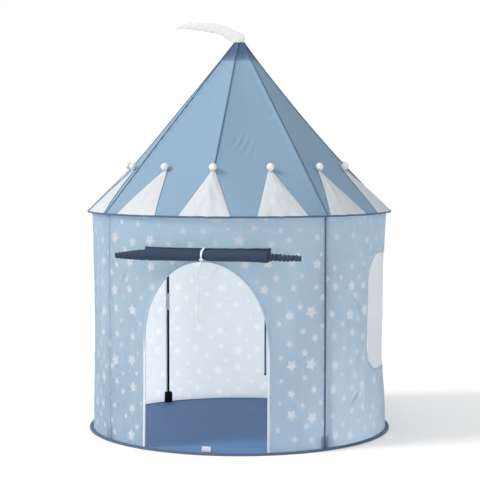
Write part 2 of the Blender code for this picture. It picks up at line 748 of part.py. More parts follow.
def make_corner(corner, bearing, tube, plastic, webbing, sleeve_cloth):
    """One of the four poles: its pocket, its wall and roof lengths, the elbow and the sleeve."""
    make_pocket(corner, bearing, webbing)
    foot = FLOOR_THICKNESS + GAP + POCKET_FLOOR + GAP
    make_pole("wall_pole", corner, bearing, (POLE_OUT, foot), (POLE_OUT, ELBOW_HEIGHT - ELBOW_BEND),
              FERRULE_HEIGHT - foot, tube)
    roof_top = roof_pole_at(HUB_BORE_ROOT) - SEAT
    make_pole("roof_pole", corner, bearing, up_roof_pole(ELBOW_BEND), up_roof_pole(roof_top),
              (roof_top - ELBOW_BEND) / 2, tube)
    bend = ((POLE_OUT, ELBOW_HEIGHT - ELBOW_BEND - ELBOW_SOCKET), (POLE_OUT, ELBOW_HEIGHT - ELBOW_BEND),
            up_roof_pole(ELBOW_BEND), up_roof_pole(ELBOW_BEND + ELBOW_SOCKET))
    make_tube("elbow_" + corner, bearing, bend, ELBOW_RADIUS, BORE, plastic)
    sleeve = (up_roof_pole(ELBOW_BEND + ELBOW_SOCKET + SLEEVE_FOOT_GAP),
              up_roof_pole(roof_pole_at(HUB_SOCKET_END) - SLEEVE_TOP_GAP))
    make_tube("roof_sleeve_" + corner, bearing, sleeve, SLEEVE_RADIUS, SLEEVE_RADIUS - SLEEVE_WALL,
              sleeve_cloth)


def make_hub(plastic):
    """A domed boss with four sockets that point down along the roof poles."""
    top = PEAK_HEIGHT - HUB_DROP
    foot = top - HUB_HEIGHT
    hub = make_turned("apex_hub", ((0, foot), (HUB_RADIUS - HUB_CHAMFER, foot),
                                   (HUB_RADIUS, foot + HUB_CHAMFER), (HUB_RADIUS, top - HUB_DOME),
                                   (HUB_TOP_RADIUS + HUB_CHAMFER, top - HUB_CHAMFER),
                                   (HUB_TOP_RADIUS, top), (0, top)), HUB_SIDES, plastic)
    tools = {"hub_sockets": (HUB_SOCKET_ROOT, HUB_SOCKET_END, HUB_SOCKET_RADIUS, "UNION"),
             "hub_bores": (HUB_BORE_ROOT, HUB_SOCKET_END + OVERRUN, BORE, "DIFFERENCE")}
    for name, (root, end, radius, operation) in tools.items():
        bars = make_bars(name, up_roof_pole(roof_pole_at(end)), up_roof_pole(roof_pole_at(root)),
                         radius, CORNERS.values())
        combine(hub, bars, operation)


def roll_axis_depth():
    """How far in front of the tent's axis the roll hangs: clear of the strip on the wall."""
    wall = -on_wall(0, ROLL_HEIGHT, 0).y
    return wall + SEAT + CURTAIN_CLOTH + ROLL_STANDOFF + ROLL_RADIUS


def scroll_point(station, across):
    """A point on the wound cloth, counted from its outer end at the back, down and forwards."""
    turn = math.tau * station / ROLL_POINTS
    radius = ROLL_RADIUS - ROLL_CLOTH / 2 - ROLL_PITCH * station / ROLL_POINTS + across
    return Vector((0, radius * math.cos(turn) - roll_axis_depth(), ROLL_HEIGHT - radius * math.sin(turn)))


def least_gap_in_roll():
    """The narrowest space between one turn and the next, from the points of their faces."""
    stations = ROLL_TURNS * ROLL_POINTS
    least = ROLL_RADIUS
    for station in range(stations - ROLL_POINTS + 1):
        inner = scroll_point(station, -ROLL_CLOTH / 2)
        for step in range(ROLL_POINTS - 1, ROLL_POINTS + 1):
            start = scroll_point(min(station + step, stations), ROLL_CLOTH / 2)
            end = scroll_point(min(station + step + 1, stations), ROLL_CLOTH / 2)
            if start == end:
                continue
            along = (end - start).normalized()
            least = min(least, ((inner - start) - along * (inner - start).dot(along)).length)
    return least


def make_curtain(cloth):
    """The heading sewn to the wall, the short strip that hangs from it, and the roll."""
    half = math.degrees(math.asin(CURTAIN_HALF / WALL_RADIUS))
    wall_sheet("curtain_heading", (-half, half), (HEADING_FOOT, HEADING_TOP),
               SEAT, SEAT + HEADING_DEPTH, cloth)
    wall_sheet("door_curtain", (-half, half), (ROLL_HEIGHT - CURTAIN_TUCK, HEADING_FOOT - SEAT),
               SEAT, SEAT + CURTAIN_CLOTH, cloth)
    stations = ROLL_TURNS * ROLL_POINTS
    faces = []
    for across in (ROLL_CLOTH / 2, -ROLL_CLOTH / 2):
        grid = []
        for station in range(stations + 1):
            share = station / stations
            centre = scroll_point(station, across)
            left = Vector((-mix(CURTAIN_HALF, ROLL_LEFT, share), 0, 0))
            right = Vector((mix(CURTAIN_HALF, ROLL_RIGHT, share), 0, 0))
            grid.append([centre + left, centre + right])
        faces.append(grid)
    make_sheet("door_roll", faces[0], faces[1], cloth)
    print("door_roll: least gap between its turns %.2f mm" % (1000 * least_gap_in_roll()))


def make_roll_tie(tape):
    """A band from the wall over the heading and round the front of the roll, with its knot."""
    centre = Vector((0, -roll_axis_depth(), ROLL_HEIGHT))
    reach = ROLL_RADIUS + SEAT
    heading_face = SEAT + HEADING_DEPTH + SEAT
    path = [on_wall(0, HEADING_TOP + BAND_ABOVE, SEAT), on_wall(0, HEADING_TOP + SEAT, SEAT),
            on_wall(0, HEADING_TOP + SEAT, heading_face)]
    for bearing in range(BAND_START, BAND_END + 1, BAND_STEP):
        turn = math.radians(bearing)
        path.append(centre + Vector((0, math.cos(turn), math.sin(turn))) * reach)
    outer = [point + Vector((0, along.z, -along.y)) * stretch * BAND_THICKNESS
             for point, (along, stretch) in zip(path, directions(path))]
    faces = []
    for line in (outer, path):
        faces.append([[point + Vector((side * BAND_HALF, 0, 0)) for side in (-1, 1)] for point in line])
    band = make_sheet("tie_band", faces[0], faces[1], tape)
    turn = math.radians(KNOT_BEARING)
    out = Vector((0, math.cos(turn), math.sin(turn)))
    knot = centre + out * (reach + GAP + KNOT_RADIUS)
    combine(band, make_ball("tie_knot", knot, KNOT_RADIUS), "UNION")


def smooth_route(points, between):
    """Points on one smooth curve that passes through all the points of a route."""
    route = [Vector(point) for point in points]
    route = [2 * route[0] - route[1]] + route + [2 * route[-1] - route[-2]]
    curve = []
    for before, start, end, after in zip(route, route[1:], route[2:], route[3:]):
        for step in range(between):
            t = step / between
            curve.append((2 * start + (end - before) * t
                          + (2 * before - 5 * start + 4 * end - after) * t ** 2
                          + (3 * start - before - 3 * end + after) * t ** 3) / 2)
    return curve + [route[-2]]


def make_tie_tail(cord, tape):
    """The loose end of the tie, and the small knot that finishes it."""
    points = smooth_route(TIE_TAIL_ROUTE, TAIL_POINTS_BETWEEN)
    curve = bpy.data.curves.new("tie_tail", "CURVE")
    curve.dimensions = "3D"
    curve.bevel_depth = TAIL_RADIUS
    curve.bevel_resolution = 2
    curve.use_fill_caps = True
    spline = curve.splines.new("POLY")
    spline.points.add(len(points) - 1)
    for spot, point in zip(spline.points, points):
        spot.co = (*point, 1)
    curve.materials.append(cord)
    bpy.context.scene.collection.objects.link(bpy.data.objects.new("tie_tail", curve))
    make_ball("tie_end_knot", points[-1] - UP * (GAP + END_KNOT_RADIUS), END_KNOT_RADIUS, tape)


def make_inner_tie(tape):
    """A ribbon that hangs from the inside of the doorway's right edge, knotted at its foot."""
    back = -CLOTH - SEAT - TAPE - SEAT
    ribbon = wall_sheet("inner_tie", INNER_TIE_BEARINGS, (INNER_TIE_FOOT, INNER_TIE_TOP),
                        back - INNER_TIE_THICKNESS, back, tape)
    middle = sum(INNER_TIE_BEARINGS) / 2
    centre = on_wall(middle, INNER_TIE_FOOT, back - INNER_KNOT_RADIUS - GAP)
    combine(ribbon, make_ball("inner_knot", centre, INNER_KNOT_RADIUS), "UNION")


def make_pennant(cloth):
    """A soft double pennant that stands up from the peak and bends over to one side."""
    foot = PEAK_HEIGHT + GAP + CAP_THICKNESS + GAP
    out = around(PENNANT_BEARING, 1, 0)
    side = around(PENNANT_BEARING + 90, 1, 0)
    mesh = bmesh.new()
    rings = []
    for along, up, width, tipped in PENNANT_SECTION_SHARES:
        centre = out * PENNANT_REACH * along + UP * (foot + PENNANT_RISE * up)
        turn = tipped * math.pi / 2
        across = UP * math.sin(turn) - out * math.cos(turn)
        half = PENNANT_WIDTH * width / 2
        thick = mix(PENNANT_FOOT_THICKNESS, PENNANT_TIP_THICKNESS, along) / 2
        edge = thick * PENNANT_EDGE_SHARE
        section = ((half, edge), (0, thick), (-half, edge), (-half, -edge), (0, -thick), (half, -edge))
        rings.append([mesh.verts.new(centre + across * far + side * near) for far, near in section])
    join_rings(mesh, rings)
    mesh.faces.new(rings[0])
    mesh.faces.new(rings[-1])
    make_object("pennant", mesh, cloth)


def main():
    for leftover in list(bpy.data.objects):
        bpy.data.objects.remove(leftover, do_unlink=True)
    printed = make_material("printed_wall_cloth", (0.40, 0.55, 0.73), 0.8)
    roofing = make_material("roof_cloth", (0.30, 0.43, 0.57), 0.8)
    lining = make_material("lining_cloth", (0.22, 0.33, 0.48), 0.8)
    navy = make_material("curtain_cloth", (0.05, 0.08, 0.15), 0.8)
    floor_cloth = make_material("floor_cloth", (0.10, 0.18, 0.33), 0.8)
    binding = make_material("binding_tape", (0.05, 0.09, 0.19), 0.75)
    white = make_material("white_cloth", (0.80, 0.81, 0.83), 0.85)
    cream = make_material("cream_tape", (0.74, 0.73, 0.68), 0.8)
    net = make_material("window_net", (0.65, 0.67, 0.69), 0.7)
    webbing = make_material("black_webbing", (0.02, 0.02, 0.02), 0.8)
    tube = make_material("black_pole", (0.015, 0.015, 0.017), 0.4)
    plastic = make_material("black_plastic", (0.02, 0.02, 0.022), 0.45)
    steel = make_material("spring_steel", (0.45, 0.46, 0.47), 0.4, 1.0)

    make_floor(floor_cloth, white)
    make_hoop_and_binding("base", 0, BASE_REACH, steel, binding)
    eave = make_hoop_and_binding("eave", EAVE_HEIGHT, EAVE_REACH, steel, binding)
    combine(eave, make_bunting(), "UNION")
    eave.name = "eave_binding_with_bunting"
    make_wall(printed, binding)
    make_door_binding(cream)
    make_nets(net)
    make_roof(roofing, lining, white)
    for corner, bearing in CORNERS.items():
        make_corner(corner, bearing, tube, plastic, webbing, lining)
    make_hub(plastic)
    make_curtain(navy)
    make_roll_tie(cream)
    make_tie_tail(cream, cream)
    make_inner_tie(lining)
    make_pennant(white)


main()
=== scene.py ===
"""The looks of the round play tent: its cloth, tapes, bunting, poles and rolled-up curtain.

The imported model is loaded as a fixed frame, and each piece is made round it in metres. A
bearing is an angle in degrees round the tent, from the doorway at -Y towards +X. A share
runs from 0 at the foot of the wall to 1 at the eave, and a rise from 0 at the eave to 1 at
the peak.
"""

import math

import bmesh
import bpy
from bpy.props import FloatProperty, FloatVectorProperty, PointerProperty
from mathutils import Matrix, Vector, noise


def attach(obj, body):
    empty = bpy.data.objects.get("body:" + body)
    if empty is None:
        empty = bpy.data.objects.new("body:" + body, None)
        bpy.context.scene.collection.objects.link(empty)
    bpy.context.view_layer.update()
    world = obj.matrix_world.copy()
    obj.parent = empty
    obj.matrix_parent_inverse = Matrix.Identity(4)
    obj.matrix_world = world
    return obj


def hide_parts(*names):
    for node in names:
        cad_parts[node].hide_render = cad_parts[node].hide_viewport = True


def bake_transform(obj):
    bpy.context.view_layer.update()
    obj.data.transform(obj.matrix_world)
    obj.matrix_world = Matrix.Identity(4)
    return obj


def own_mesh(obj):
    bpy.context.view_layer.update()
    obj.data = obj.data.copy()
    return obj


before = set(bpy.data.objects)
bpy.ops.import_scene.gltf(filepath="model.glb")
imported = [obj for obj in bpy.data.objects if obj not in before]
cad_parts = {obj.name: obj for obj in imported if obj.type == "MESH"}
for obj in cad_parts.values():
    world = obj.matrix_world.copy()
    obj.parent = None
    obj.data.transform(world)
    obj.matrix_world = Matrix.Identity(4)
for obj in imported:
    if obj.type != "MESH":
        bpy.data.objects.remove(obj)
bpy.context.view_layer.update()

bl_info = {
    "name": "Round play tent",
    "version": (1, 0, 0),
    "blender": (4, 5, 0),
    "location": "3D View > Sidebar > Tent",
    "description": "Dresses the frame of a round play tent with cloth, tapes, poles and bunting",
    "category": "Object",
}

UP = Vector((0, 0, 1))

# Wall, as the frame has it
WALL_RADIUS = 0.486
WAIST = 0.012
SIDE_WAIST = 0.0088
WALL_FOOT = 0.0063
WALL_TOP = 0.7157
PANELS = {"front": 0, "right": 90, "back": 180, "left": 270}
CORNERS = {"front_right": 45, "back_right": 135, "back_left": 225, "front_left": 315}
CELL = 0.0055
LINING_GAP = 0.0003

# How thick each piece of cloth is drawn, and the wall of the elbows
THICKNESS = {
    "floor": 0.0036, "tag": 0.0009, "net": 0.0004, "lining": 0.0007, "flag": 0.0013,
    "elbow": 0.0014, "sleeve": 0.0007, "strip": 0.0007, "roll": 0.0009,
}

# Roof, as the frame has it
ROOF_FOOT_RADIUS = 0.496
ROOF_FOOT_HEIGHT = 0.7223
PEAK_RADIUS = 0.0165
PEAK_HEIGHT = 1.272
GORE = 45
GORES = 8
FLAT_SHARE = 0.4
ROOF_RUN = ROOF_FOOT_RADIUS - PEAK_RADIUS
ROOF_RISE = PEAK_HEIGHT - ROOF_FOOT_HEIGHT
ROOF_PITCH = math.atan2(ROOF_RISE, ROOF_RUN)
ROOF_SLOPE = math.hypot(ROOF_RUN, ROOF_RISE)
LINED_FROM = 0.885
LINED_TO = 0.985
PIPING_DEPTH = 0.0017

# Doorway and windows
DOOR_CENTRE = -0.008
DOOR_HALF = 0.195
DOOR_SPRING = 0.334
DOOR_TOP = 0.584
WINDOW_BEARINGS = {"right": 90, "left": 270}
WINDOW_HALF = 0.165
WINDOW_SILL = 0.22
WINDOW_HEAD = 0.59
WINDOW_CORNER = 0.08
NET_HEM = 0.012
NET_SEWN = 0.006
RIBBON_FOOT = 0.246
RIBBON_TOP = 0.415
RIBBON_BESIDE = 0.68
RIBBON_HALF = 0.35

# Floor, its tag and the bindings
TAG_HALF = 0.014
TAG_HEIGHT = 0.016
BINDING_HALF = 0.0029
BASE_REACH = 0.0133
EAVE_REACH = 0.0163
EAVE_BINDING_FOOT = 0.716

# Curtain and its tie
CURTAIN_BEARING = 23.65
HEADING_FOOT = 0.6155
HEADING_TOP = 0.6255
STRIP_TOP = 0.6152
STRIP_FOOT = 0.6002
DROP = 0.575
ROLL_DEPTH = 0.502856
ROLL_HEIGHT = 0.60505
ROLL_RADIUS = 0.01885
ROLL_TURNS = 7
ROLL_PITCH = 0.00155
ROLL_STEPS = 36
ROLL_BEYOND = 0.203
TAIL_RADIUS = 0.00175
TAIL_ROUTE = (
    (-0.0008, -0.5246, 0.5853), (-0.0012, -0.5250, 0.5822), (-0.0048, -0.5265, 0.5770),
    (-0.0112, -0.5276, 0.5690), (-0.0136, -0.5280, 0.5590), (-0.0118, -0.5280, 0.5440),
    (-0.0098, -0.5278, 0.5230), (-0.0090, -0.5276, 0.4980), (-0.0096, -0.5275, 0.4720),
    (-0.0112, -0.5275, 0.4450), (-0.0128, -0.5276, 0.4220), (-0.0135, -0.5276, 0.4070),
)

# Poles
POLE_OUT = 0.477588
ELBOW_HEIGHT = 0.729318
POLE_RADIUS = 0.0035
FERRULE_RADIUS = 0.0046
FERRULE_LENGTH = 0.06
FERRULE_HEIGHT = 0.372
POLE_FOOT = 0.0066
ELBOW_BEND = 0.012
ELBOW_SOCKET = 0.03
ELBOW_RADIUS = 0.0053
SLEEVE_RADIUS = 0.0065
LOOP_HEIGHT = 0.678
POCKET_FOOT = 0.0043
POCKET_HEIGHT = 0.038
POCKET_WIDTH = 0.028
POCKET_DEPTH = 0.0108
SOCKET_OUT = 0.058
ROOF_WAY = Vector((0, math.cos(ROOF_PITCH), math.sin(ROOF_PITCH)))

# Bunting and pompons
FLAGS = 13
FLAG_HALF = 0.079
FLAG_TIP = 0.0035
FLAG_RISE = 0.25
POMPON_RADIUS = 0.0122

# Pennant. Each section has its place along the reach, its rise, its width and its lean, as shares.
PENNANT_BEARING = -77
PENNANT_FOOT = 1.2752
PENNANT_REACH = 0.212
PENNANT_RISE = 0.053
PENNANT_WIDTH = 0.05
PENNANT_GIRTH = 0.11
PENNANT_SECTIONS = (
    (0.03, 0.00, 0.94, 0.00), (0.03, 0.19, 1.00, 0.21), (0.11, 0.42, 0.98, 0.24),
    (0.23, 0.66, 0.76, 0.36), (0.37, 0.83, 0.68, 0.66), (0.56, 0.92, 0.56, 0.96),
    (0.755, 0.965, 0.43, 1.02), (0.91, 0.91, 0.19, 1.17), (1.00, 0.75, 0.05, 1.28),
)

# Creases in the wall and the roof: start, end, half width and depth. The start and the end
# are a bearing and a height.
WALL_CREASES = (
    ((59.5, 0.478), (66.8, 0.372), 0.0060, 0.0042),
    ((62.0, 0.455), (66.2, 0.395), 0.0045, 0.0028),
    ((57.5, 0.128), (64.0, 0.170), 0.0060, 0.0030),
    ((33.0, 0.120), (27.5, 0.205), 0.0070, 0.0022),
    ((111.0, 0.560), (117.5, 0.640), 0.0070, 0.0030),
    ((114.0, 0.190), (121.0, 0.120), 0.0070, 0.0032),
    ((-33.0, 0.560), (-38.5, 0.480), 0.0070, 0.0020),
    ((-52.5, 0.600), (-56.0, 0.300), 0.0090, 0.0026),
    ((-49.5, 0.450), (-52.0, 0.180), 0.0080, 0.0022),
    ((245.0, 0.200), (238.0, 0.110), 0.0070, 0.0030),
    ((297.0, 0.560), (303.0, 0.650), 0.0070, 0.0026),
    ((160.0, 0.240), (172.0, 0.140), 0.0080, 0.0030),
    ((196.0, 0.560), (206.0, 0.440), 0.0080, 0.0028),
)
CREASE_STRENGTH = 1.8
ROOF_CREASES = (
    ((6.5, 0.918), (13.5, 0.972), 0.0045, 0.0022),
    ((10.0, 0.908), (18.5, 0.972), 0.0042, 0.0024),
    ((14.2, 0.898), (22.0, 0.958), 0.0042, 0.0020),
    ((17.0, 0.872), (22.5, 0.905), 0.0040, 0.0013),
    ((100.0, 0.900), (109.0, 0.965), 0.0045, 0.0022),
    ((205.0, 0.950), (196.0, 0.885), 0.0045, 0.0022),
    ((283.0, 0.905), (292.0, 0.960), 0.0045, 0.0020),
)

# Dents in the wall: bearing, height, half width in degrees, half height and depth
WALL_DENTS = (
    (103, 0.235, 13, 0.085, -0.0065), (-62, 0.300, 9, 0.160, -0.0030),
    (27, 0.420, 5, 0.140, -0.0030), (33, 0.200, 5, 0.100, 0.0025),
    (58, 0.550, 5, 0.120, -0.0030), (70, 0.200, 6, 0.120, -0.0040),
    (-31, 0.550, 5, 0.140, -0.0030),
)

# How far the roof is drawn in half way between two poles, by the bearing there
ROOF_DRAWN_IN = {0: 0.013, 90: 0.020, 180: 0.013, 270: 0.007}

# Light: which way the sky gets brighter, its level, and the lamps' bearings, distances and heights
SKY_LEAN = (-0.10, 0.0, -0.42)
SKY_LEVEL = 1.25
SKY_COLOUR = (0.955, 0.980, 1.0, 1.0)
WHITE = (1.0, 1.0, 1.0, 1.0)
GROUND_SEEN = (0.902, 0.880, 0.862, 1.0)
GROUND_FOR_LIGHT = (0.86, 0.86, 0.86)
GROUND_SIZE = 24
GROUND_HEIGHT = -0.0006
LAMP_PLACES = {"key": (-62, 5, 3.8), "fill": (20, 4.2, 0.45), "back": (156, 3.6, 1.3)}
LAMP_TARGET = Vector((0, 0, 0.3))
LAMP_WIDTH = 2.6
KEY_WIDTH = math.radians(23)
KEY_COLOUR = (1.0, 0.985, 0.955)


def linear(red, green, blue):
    """A linear colour, from the parts from 0 to 255 that a screen shows it with."""
    return tuple((part / 255 / 12.92) if part < 11 else ((part / 255 + 0.055) / 1.055) ** 2.4
                 for part in (red, green, blue))


def a_colour(name, description, *screen):
    return FloatVectorProperty(name=name, description=description, subtype="COLOR", size=3,
                               min=0, max=1, default=linear(*screen))


def a_length(name, description, default):
    return FloatProperty(name=name, description=description, default=default, min=0,
                         unit="LENGTH", precision=5)


class TentColours(bpy.types.PropertyGroup):
    """The colours of the cloths, tapes and fittings."""
    wall: a_colour("Wall cloth", "Ground colour of the printed wall cloth", 168, 197, 214)
    star: a_colour("Stars", "Colour of the stars printed on the wall cloth", 254, 251, 246)
    glow: a_colour("Light through the wall", "Colour of the light that the wall cloth lets through",
                   246, 249, 252)
    # Painted shade that the poles and their fittings throw on the wall cloth from behind
    shade: a_colour("Shadow of the poles", "Where black fittings show through the wall",
                    84, 104, 138)
    roof: a_colour("Roof cloth", "Colour of the roof", 125, 153, 175)
    # The lining's colour is also painted on the roof round the peak as the shade of the doubled
    # cloth
    lining: a_colour("Lining cloth", "Colour of the peak's lining and the pole sleeves",
                     56, 79, 113)
    curtain: a_colour("Curtain cloth", "Colour of the rolled-up curtain", 22, 43, 70)
    floor: a_colour("Floor cloth", "Colour of the floor", 62, 108, 160)
    binding: a_colour("Binding tape", "Colour of the bindings, seam tapes and piping", 66, 88, 119)
    white: a_colour("White cloth", "Colour of the bunting and the tag", 211, 215, 219)
    pennant: a_colour("Pennant", "Colour of the pennant and its collar", 217, 217, 218)
    hem: a_colour("Window hems", "Colour of the hems round the windows", 214, 223, 232)
    # Painted light: the left seam tapes are paler because the light falls on that side
    seam: a_colour("Seam tape", "Colour of the paler tape on the seams of the left side",
                   134, 158, 186)
    edge: a_colour("Doorway's edge", "Colour of the upper part of the doorway's binding",
                   150, 169, 187)
    pompon: a_colour("Pompons", "Colour of the pompons' yarn", 238, 236, 232)
    tape: a_colour("Pale tape", "Colour of the doorway's binding and the curtain's tie",
                   206, 212, 222)
    net: a_colour("Net", "Colour of the windows' net", 229, 232, 236)
    pole: a_colour("Poles", "Colour of the poles", 6, 6, 8)
    ferrule: a_colour("Ferrules", "Colour of the metal ferrules", 186, 189, 194)
    webbing: a_colour("Webbing", "Colour of the foot pockets and the pole loops", 10, 10, 12)


class TentSizes(bpy.types.PropertyGroup):
    """The sizes that change how the cloth looks."""
    cloth: a_length("Cloth", "Thickness of the wall and roof cloth", 0.0008)
    star_spacing: a_length("Star spacing", "Side of the square that each large star has to itself",
                           0.076)
    large_star: a_length("Large star", "From the middle to a point of the largest star", 0.0228)
    small_star: a_length("Small star", "From the middle to a point of the smallest star", 0.0068)
    wall_waves: a_length("Waves in the wall", "How far the wall waves in and out", 0.0055)
    roof_sag: a_length("Sag of the roof", "How far the roof hangs in between its seams", 0.0032)
    piping: a_length("Piping", "Width of the piping on the roof's seams", 0.0043)
    see_through: FloatProperty(name="Light through cloth", default=0.8, min=0, max=1,
                               subtype="FACTOR",
                               description="Share of the light that passes through the wall cloth")


class TentStage(bpy.types.PropertyGroup):
    """Where the camera and the lamps stand."""
    camera_bearing: FloatProperty(
        name="Camera bearing", default=math.radians(12.354), subtype="ANGLE",
        description="Bearing of the camera round the tent, from the doorway")
    camera_distance: a_length("Camera distance", "From the tent's axis to the camera", 4.731)
    camera_height: a_length("Camera height", "Height of the camera over the floor", 0.917)
    camera_aside: a_length("Camera aside", "How far the camera stands to the right of its bearing",
                           0.0022)
    camera_tilt: FloatProperty(name="Camera tilt", default=math.radians(3.589), subtype="ANGLE",
                               description="How far the camera looks down")
    focal_length: FloatProperty(name="Focal length", default=106.79, min=1,
                                description="Focal length in millimetres, on a 36 mm sensor")
    sky: FloatProperty(name="Sky", default=0.78, min=0, description="Strength of the even light")
    key: FloatProperty(
        name="Key lamp", default=2.45, min=0,
        description="Strength of the broad lamp on the left, over the camera's shoulder")
    fill: FloatProperty(name="Fill lamp", default=46, min=0, unit="POWER",
                        description="Power of the low lamp in front of the tent")
    back: FloatProperty(
        name="Back lamp", default=14, min=0, unit="POWER",
        description="Power of the lamp behind the tent, which shines through the cloth")


def sizes():
    return bpy.context.scene.tent_sizes


# Sums

def mix(low, high, share):
    return low + (high - low) * share


def clamp(value):
    return min(max(value, 0), 1)


def ease(value):
    """Goes from 0 to 1 as the value does, slowly at both ends."""
    value = clamp(value)
    return value * value * (3 - 2 * value)


def bell(distance, width):
    """1 in the middle, and falling off smoothly to both sides."""
    return math.exp(-(distance / width) ** 2)


def power(value, exponent):
    """A power of a value that keeps the value's sign."""
    return math.copysign(abs(value) ** exponent, value)


def turns(count):
    """Evenly spaced angles of one whole turn, in radians."""
    return [math.tau * step / count for step in range(count)]


def uneased(value):
    """The value that ease turns into this one."""
    low, high = 0.0, 1.0
    for attempt in range(24):
        middle = (low + high) / 2
        low, high = (middle, high) if ease(middle) < value else (low, middle)
    return (low + high) / 2


def steps(low, high, count):
    """Evenly spaced values from low to high, both ends among them."""
    return [mix(low, high, index / count) for index in range(count + 1)]


def around(bearing, radius, height):
    """A point at a bearing round the tent."""
    turn = math.radians(bearing)
    return Vector((radius * math.sin(turn), -radius * math.cos(turn), height))


def turn_from(bearing, middle=0):
    """How far a bearing lies from a middle one, from -180 to 180 degrees."""
    return (bearing - middle + 180) % 360 - 180


def rough(x, y, z):
    """Smooth noise from -1 to 1."""
    return noise.noise(Vector((x, y, z)))


def ripple(bearing, reach, level):
    """Noise from -1 to 1 that runs on unbroken round the tent."""
    turn = math.radians(bearing)
    return rough(reach * math.sin(turn), reach * math.cos(turn), level)


def smooth_route(points, between):
    """Points on one smooth curve through all the points of a route."""
    route = [Vector(point) for point in points]
    route = [2 * route[0] - route[1]] + route + [2 * route[-1] - route[-2]]
    curve = []
    for before, start, end, after in zip(route, route[1:], route[2:], route[3:]):
        for step in range(between):
            t = step / between
            curve.append((2 * start + (end - before) * t
                          + (2 * before - 5 * start + 4 * end - after) * t ** 2
                          + (3 * start - before - 3 * end + after) * t ** 3) / 2)
    return curve + [route[-2]]


def crease(creases, bearing, height, radius):
    """How far the creases near a place lift it: a valley with a ridge beside it."""
    lift = 0
    for (start, low), (end, high), width, depth in creases:
        turn = turn_from(bearing, start)
        if abs(turn) > 16:
            continue
        across, up = math.radians(turn) * radius, height - low
        run, rise = math.radians(end - start) * radius, high - low
        length = math.hypot(run, rise)
        along = (across * run + up * rise) / length ** 2
        if not 0 < along < 1:
            continue
        off = (across * rise - up * run) / length
        fade = math.sin(math.pi * along) ** 0.8
        lift += depth * fade * (0.6 * bell(off - 1.7 * width, 1.2 * width) - bell(off, width))
    return lift


# The wall's surface

def wall_share(height):
    return (height - WALL_FOOT) / (WALL_TOP - WALL_FOOT)


def wall_radius(bearing, height):
    """The wall is drawn in between its poles and between its hoops."""
    between_poles = (1 - math.cos(math.radians(4 * (bearing - GORE)))) / 2
    waist = WAIST if abs(turn_from(bearing)) < GORE else SIDE_WAIST
    return WALL_RADIUS - waist * between_poles * math.sin(math.pi * clamp(wall_share(height)))


def from_pole(bearing):
    """The distance along the wall to the nearest pole."""
    turn = (bearing - GORE) % (2 * GORE)
    return math.radians(min(turn, 2 * GORE - turn)) * WALL_RADIUS


def wall_wave(bearing, height):
    """How far the cloth waves out from its even surface."""
    share = clamp(wall_share(height))
    free = math.sin(math.pi * share) ** 0.6
    seam = from_pole(bearing)
    loose = 1 - bell(seam, 0.055)
    broad = ripple(bearing, 3.4, 1.3 * height)
    narrow = ripple(bearing, 12, 2.2 * height + 7)
    behind_roll = 1 - ease((abs(turn_from(bearing)) - 36) / 9)
    swing = broad * (1 - 0.4 * behind_roll) + 0.42 * narrow - 0.5 * behind_roll
    wave = free * loose * sizes().wall_waves * swing
    hoops = math.exp(-(height - WALL_FOOT) / 0.028) + math.exp(-(WALL_TOP - height) / 0.028)
    gather = 0.0007 * hoops * clamp(40 * share) * clamp(40 * (1 - share))
    wave += gather * ripple(bearing, 45, 3 * height)
    pucker = 0.0003 * bell(seam, 0.016) * free
    wave += pucker * math.sin(math.tau * height / 0.031 + 5 * math.sin(9 * height))
    for middle, level, wide, tall, depth in WALL_DENTS:
        wave += depth * bell(turn_from(bearing, middle), wide) * bell(height - level, tall)
    return wave + CREASE_STRENGTH * free * crease(WALL_CREASES, bearing, height, WALL_RADIUS)


def wall_out(bearing, height):
    """How far the outside of the wall cloth is from the tent's axis."""
    return wall_radius(bearing, height) + wall_wave(bearing, height)


def wall_point(bearing, height, lift=0.0):
    """A point on the outside of the wall cloth, or lifted off it."""
    return around(bearing, wall_out(bearing, height) + lift, height)


def wall_flat(bearing, height, middle):
    """Where a place on the wall lies on its flat cloth, in metres. middle isn't needed here."""
    return math.radians(bearing) * WALL_RADIUS, height


# The roof's surface

def roof_radius(bearing, rise):
    """Round at the eave and eight-sided further up, with its corners on the seams."""
    seam = mix(ROOF_FOOT_RADIUS, PEAK_RADIUS, rise)
    from_middle = math.radians(bearing % GORE - GORE / 2)
    flattened = math.cos(math.radians(GORE / 2)) / math.cos(from_middle)
    loose = round(bearing / (2 * GORE)) * 2 * GORE
    drawn = ROOF_DRAWN_IN[loose % 360] * (1 - abs(bearing - loose) / GORE)
    drawn *= math.sin(math.pi * clamp(rise)) ** 0.8
    return seam * mix(1, flattened, ease(rise / FLAT_SHARE)) - drawn


def roof_wave(bearing, rise):
    """How far the roof cloth waves out from its even surface, sags and puckers at its seams."""
    radius = roof_radius(bearing, rise)
    turn = bearing % GORE
    seam = round(bearing / GORE)
    near = math.radians(min(turn, GORE - turn)) * radius
    run = rise * ROOF_SLOPE
    free = math.sin(math.pi * clamp(rise)) ** 0.7
    wave = -sizes().roof_sag * math.sin(math.pi * turn / GORE) * free
    on_pole = seam % 2
    depth = 0.0013 if on_pole else 0.0005
    phase = 4 * rough(seam * 3.1, 9 * run, 0)
    wave += (depth * free * bell(near, 0.030 if on_pole else 0.018) * clamp(near / 0.004)
             * math.sin(math.tau * (run + 0.5 * near) / (0.036 if on_pole else 0.026) + phase))
    if on_pole:
        sleeve = math.exp(-(near / 0.0085) ** 4)
        wave += free * (0.0024 * sleeve - 0.0008 * bell(near - 0.0125, 0.0035))
    wave += 0.0016 * free * ripple(bearing, 6 * radius, 4 * rise)
    height = mix(ROOF_FOOT_HEIGHT, PEAK_HEIGHT, rise)
    return wave + free * crease(ROOF_CREASES, bearing, height, radius)


def roof_point(bearing, rise, lift=0.0):
    """A point on the outside of the roof cloth, or lifted off it."""
    out = (roof_wave(bearing, rise) + lift) / math.sin(ROOF_PITCH)
    height = mix(ROOF_FOOT_HEIGHT, PEAK_HEIGHT, rise)
    return around(bearing, roof_radius(bearing, rise) + out, height)


